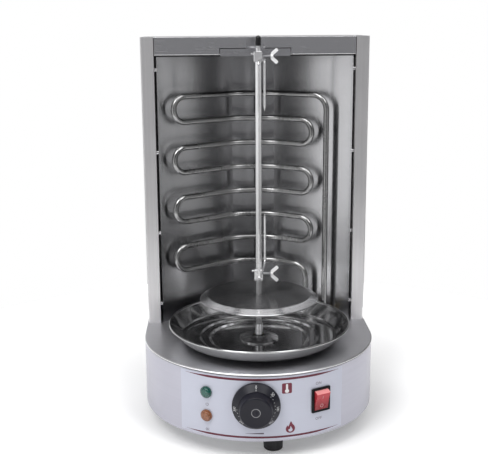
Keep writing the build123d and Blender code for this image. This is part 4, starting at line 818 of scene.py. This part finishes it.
b.inputs["Specular IOR Level"].default_value = 0.2
me.materials.append(fm)

world = bpy.data.worlds.new("studio")
bpy.context.scene.world = world
world.use_nodes = True
nt = world.node_tree
nt.nodes.clear()
wo = nt.nodes.new("ShaderNodeOutputWorld")
tc = nt.nodes.new("ShaderNodeTexCoord")
sep = nt.nodes.new("ShaderNodeSeparateXYZ")
nt.links.new(tc.outputs["Generated"], sep.inputs[0])
up = math_node(nt, "MULTIPLY_ADD", sep.outputs["Z"], 0.5)
up.node.inputs[2].default_value = 0.5
# a darker room behind the camera, paler at both sides and overhead
room = ramp(nt, up, (0.0, (0.10, 0.10, 0.105)), (0.40, (0.10, 0.10, 0.105)), (0.465, (0.24, 0.24, 0.245)), (0.49, (0.50, 0.50, 0.515)), (0.53, (0.36, 0.36, 0.37)), (0.58, (0.08, 0.08, 0.085)), (0.70, (0.035, 0.035, 0.04)), (1.0, (0.10, 0.10, 0.105)))
wide = math_node(nt, "ABSOLUTE", sep.outputs["X"])
off = math_node(nt, "ABSOLUTE", math_node(nt, "SUBTRACT", wide, 0.58))
side = math_node(nt, "MULTIPLY", spread(nt, off, 0.9, 0.03, 0.05, 0.27), spread(nt, sep.outputs["Y"], 1.0, 0.0, -0.3, 0.1))
side = math_node(nt, "MULTIPLY", side, spread(nt, sep.outputs["Z"], 2.0, 0.70, -0.3, -0.04))
side = math_node(nt, "MULTIPLY", side, spread(nt, sep.outputs["X"], 1.0, 0.84, -0.3, 0.3))
back = spread(nt, math_node(nt, "SUBTRACT", math_node(nt, "MULTIPLY", sep.outputs["Y"], 0.8), math_node(nt, "MULTIPLY", sep.outputs["X"], 0.5)), 0.0, 0.75, 0.35, 0.9)
back = math_node(nt, "MULTIPLY", back, spread(nt, sep.outputs["Z"], 1.0, 0.0, 0.3, 0.7))
# bright walls square on to the sides, which light the flats of the rod
flank = math_node(nt, "MULTIPLY", spread(nt, wide, 0.0, 0.8, 0.955, 0.985), spread(nt, sep.outputs["X"], 1.0, 0.6, -0.3, 0.3))
lift = math_node(nt, "ADD", math_node(nt, "ADD", side, back), flank)
wash = nt.nodes.new("ShaderNodeMix")
wash.data_type = "RGBA"
wash.blend_type = "ADD"
wash.inputs[0].default_value = 1.0
# the horizon is brightest straight ahead
ahead = nt.nodes.new("ShaderNodeVectorMath")
ahead.operation = "SCALE"
nt.links.new(room, ahead.inputs[0])
nt.links.new(spread(nt, wide, 1.0, 0.38, 0.2, 0.55), ahead.inputs["Scale"])
nt.links.new(ahead.outputs[0], wash.inputs[6])
nt.links.new(lift, wash.inputs[7])
bg_room = nt.nodes.new("ShaderNodeBackground")
bg_room.inputs["Strength"].default_value = 0.9
nt.links.new(wash.outputs[2], bg_room.inputs["Color"])
bg_seen = nt.nodes.new("ShaderNodeBackground")
bg_seen.inputs["Color"].default_value = (1, 1, 1, 1)
bg_seen.inputs["Strength"].default_value = 1.0
lp = nt.nodes.new("ShaderNodeLightPath")
mix = nt.nodes.new("ShaderNodeMixShader")
nt.links.new(lp.outputs["Is Camera Ray"], mix.inputs[0])
nt.links.new(bg_room.outputs[0], mix.inputs[1])
nt.links.new(bg_seen.outputs[0], mix.inputs[2])
nt.links.new(mix.outputs[0], wo.inputs["Surface"])


def area(name, loc, target, sx, sy, power):
    li = bpy.data.lights.new(name, "AREA")
    li.shape = "RECTANGLE"
    li.size, li.size_y = sx, sy
    li.energy = power
    o = bpy.data.objects.new(name, li)
    bpy.context.scene.collection.objects.link(o)
    o.location = loc
    d = Vector(target) - Vector(loc)
    o.rotation_euler = d.to_track_quat("-Z", "Y").to_euler()
    return o


area("key", (-0.95, -1.15, 2.15), (0, 0, 0.25), 1.1, 1.1, 30)
area("fill", (0.95, -1.15, 2.05), (0, 0, 0.25), 0.9, 1.1, 16)
area("top", (0.0, -0.3, 1.9), (0, 0, 0.2), 1.2, 1.2, 10)

# narrow side panels, which draw the upright bands on the liner
area("band_left_a", (-0.46, -0.235, 0.34), (0.30, -0.235, 0.34), 0.13, 0.50, 0.30)
area("band_left_b", (-0.46, -0.157, 0.36), (0.30, -0.157, 0.36), 0.022, 0.46, 0.012)
area("band_right", (0.46, -0.155, 0.42), (-0.30, -0.155, 0.42), 0.09, 0.34, 0.075)

cam = bpy.data.cameras.new("camera")
cam.lens = 66.18
cam.sensor_width = 36.0
cam.sensor_fit = "HORIZONTAL"
cam.clip_start, cam.clip_end = 0.01, 60
cam_o = bpy.data.objects.new("camera", cam)
bpy.context.scene.collection.objects.link(cam_o)
right = Vector((0.99931, -0.03652, -0.0066)).normalized()
fwd = Vector((0.03415, 0.97453, -0.22164)).normalized()
upv = right.cross(fwd).normalized()
rot = Matrix((right, upv, -fwd)).transposed()
cam_o.matrix_world = Matrix.Translation(Vector((-57.71, -1125.35, 512.05)) * MM) @ rot.to_4x4()
bpy.context.scene.camera = cam_o
bpy.context.scene.view_settings.view_transform = "Standard"
bpy.context.scene.view_settings.look = "None"

bpy.context.view_layer.update()
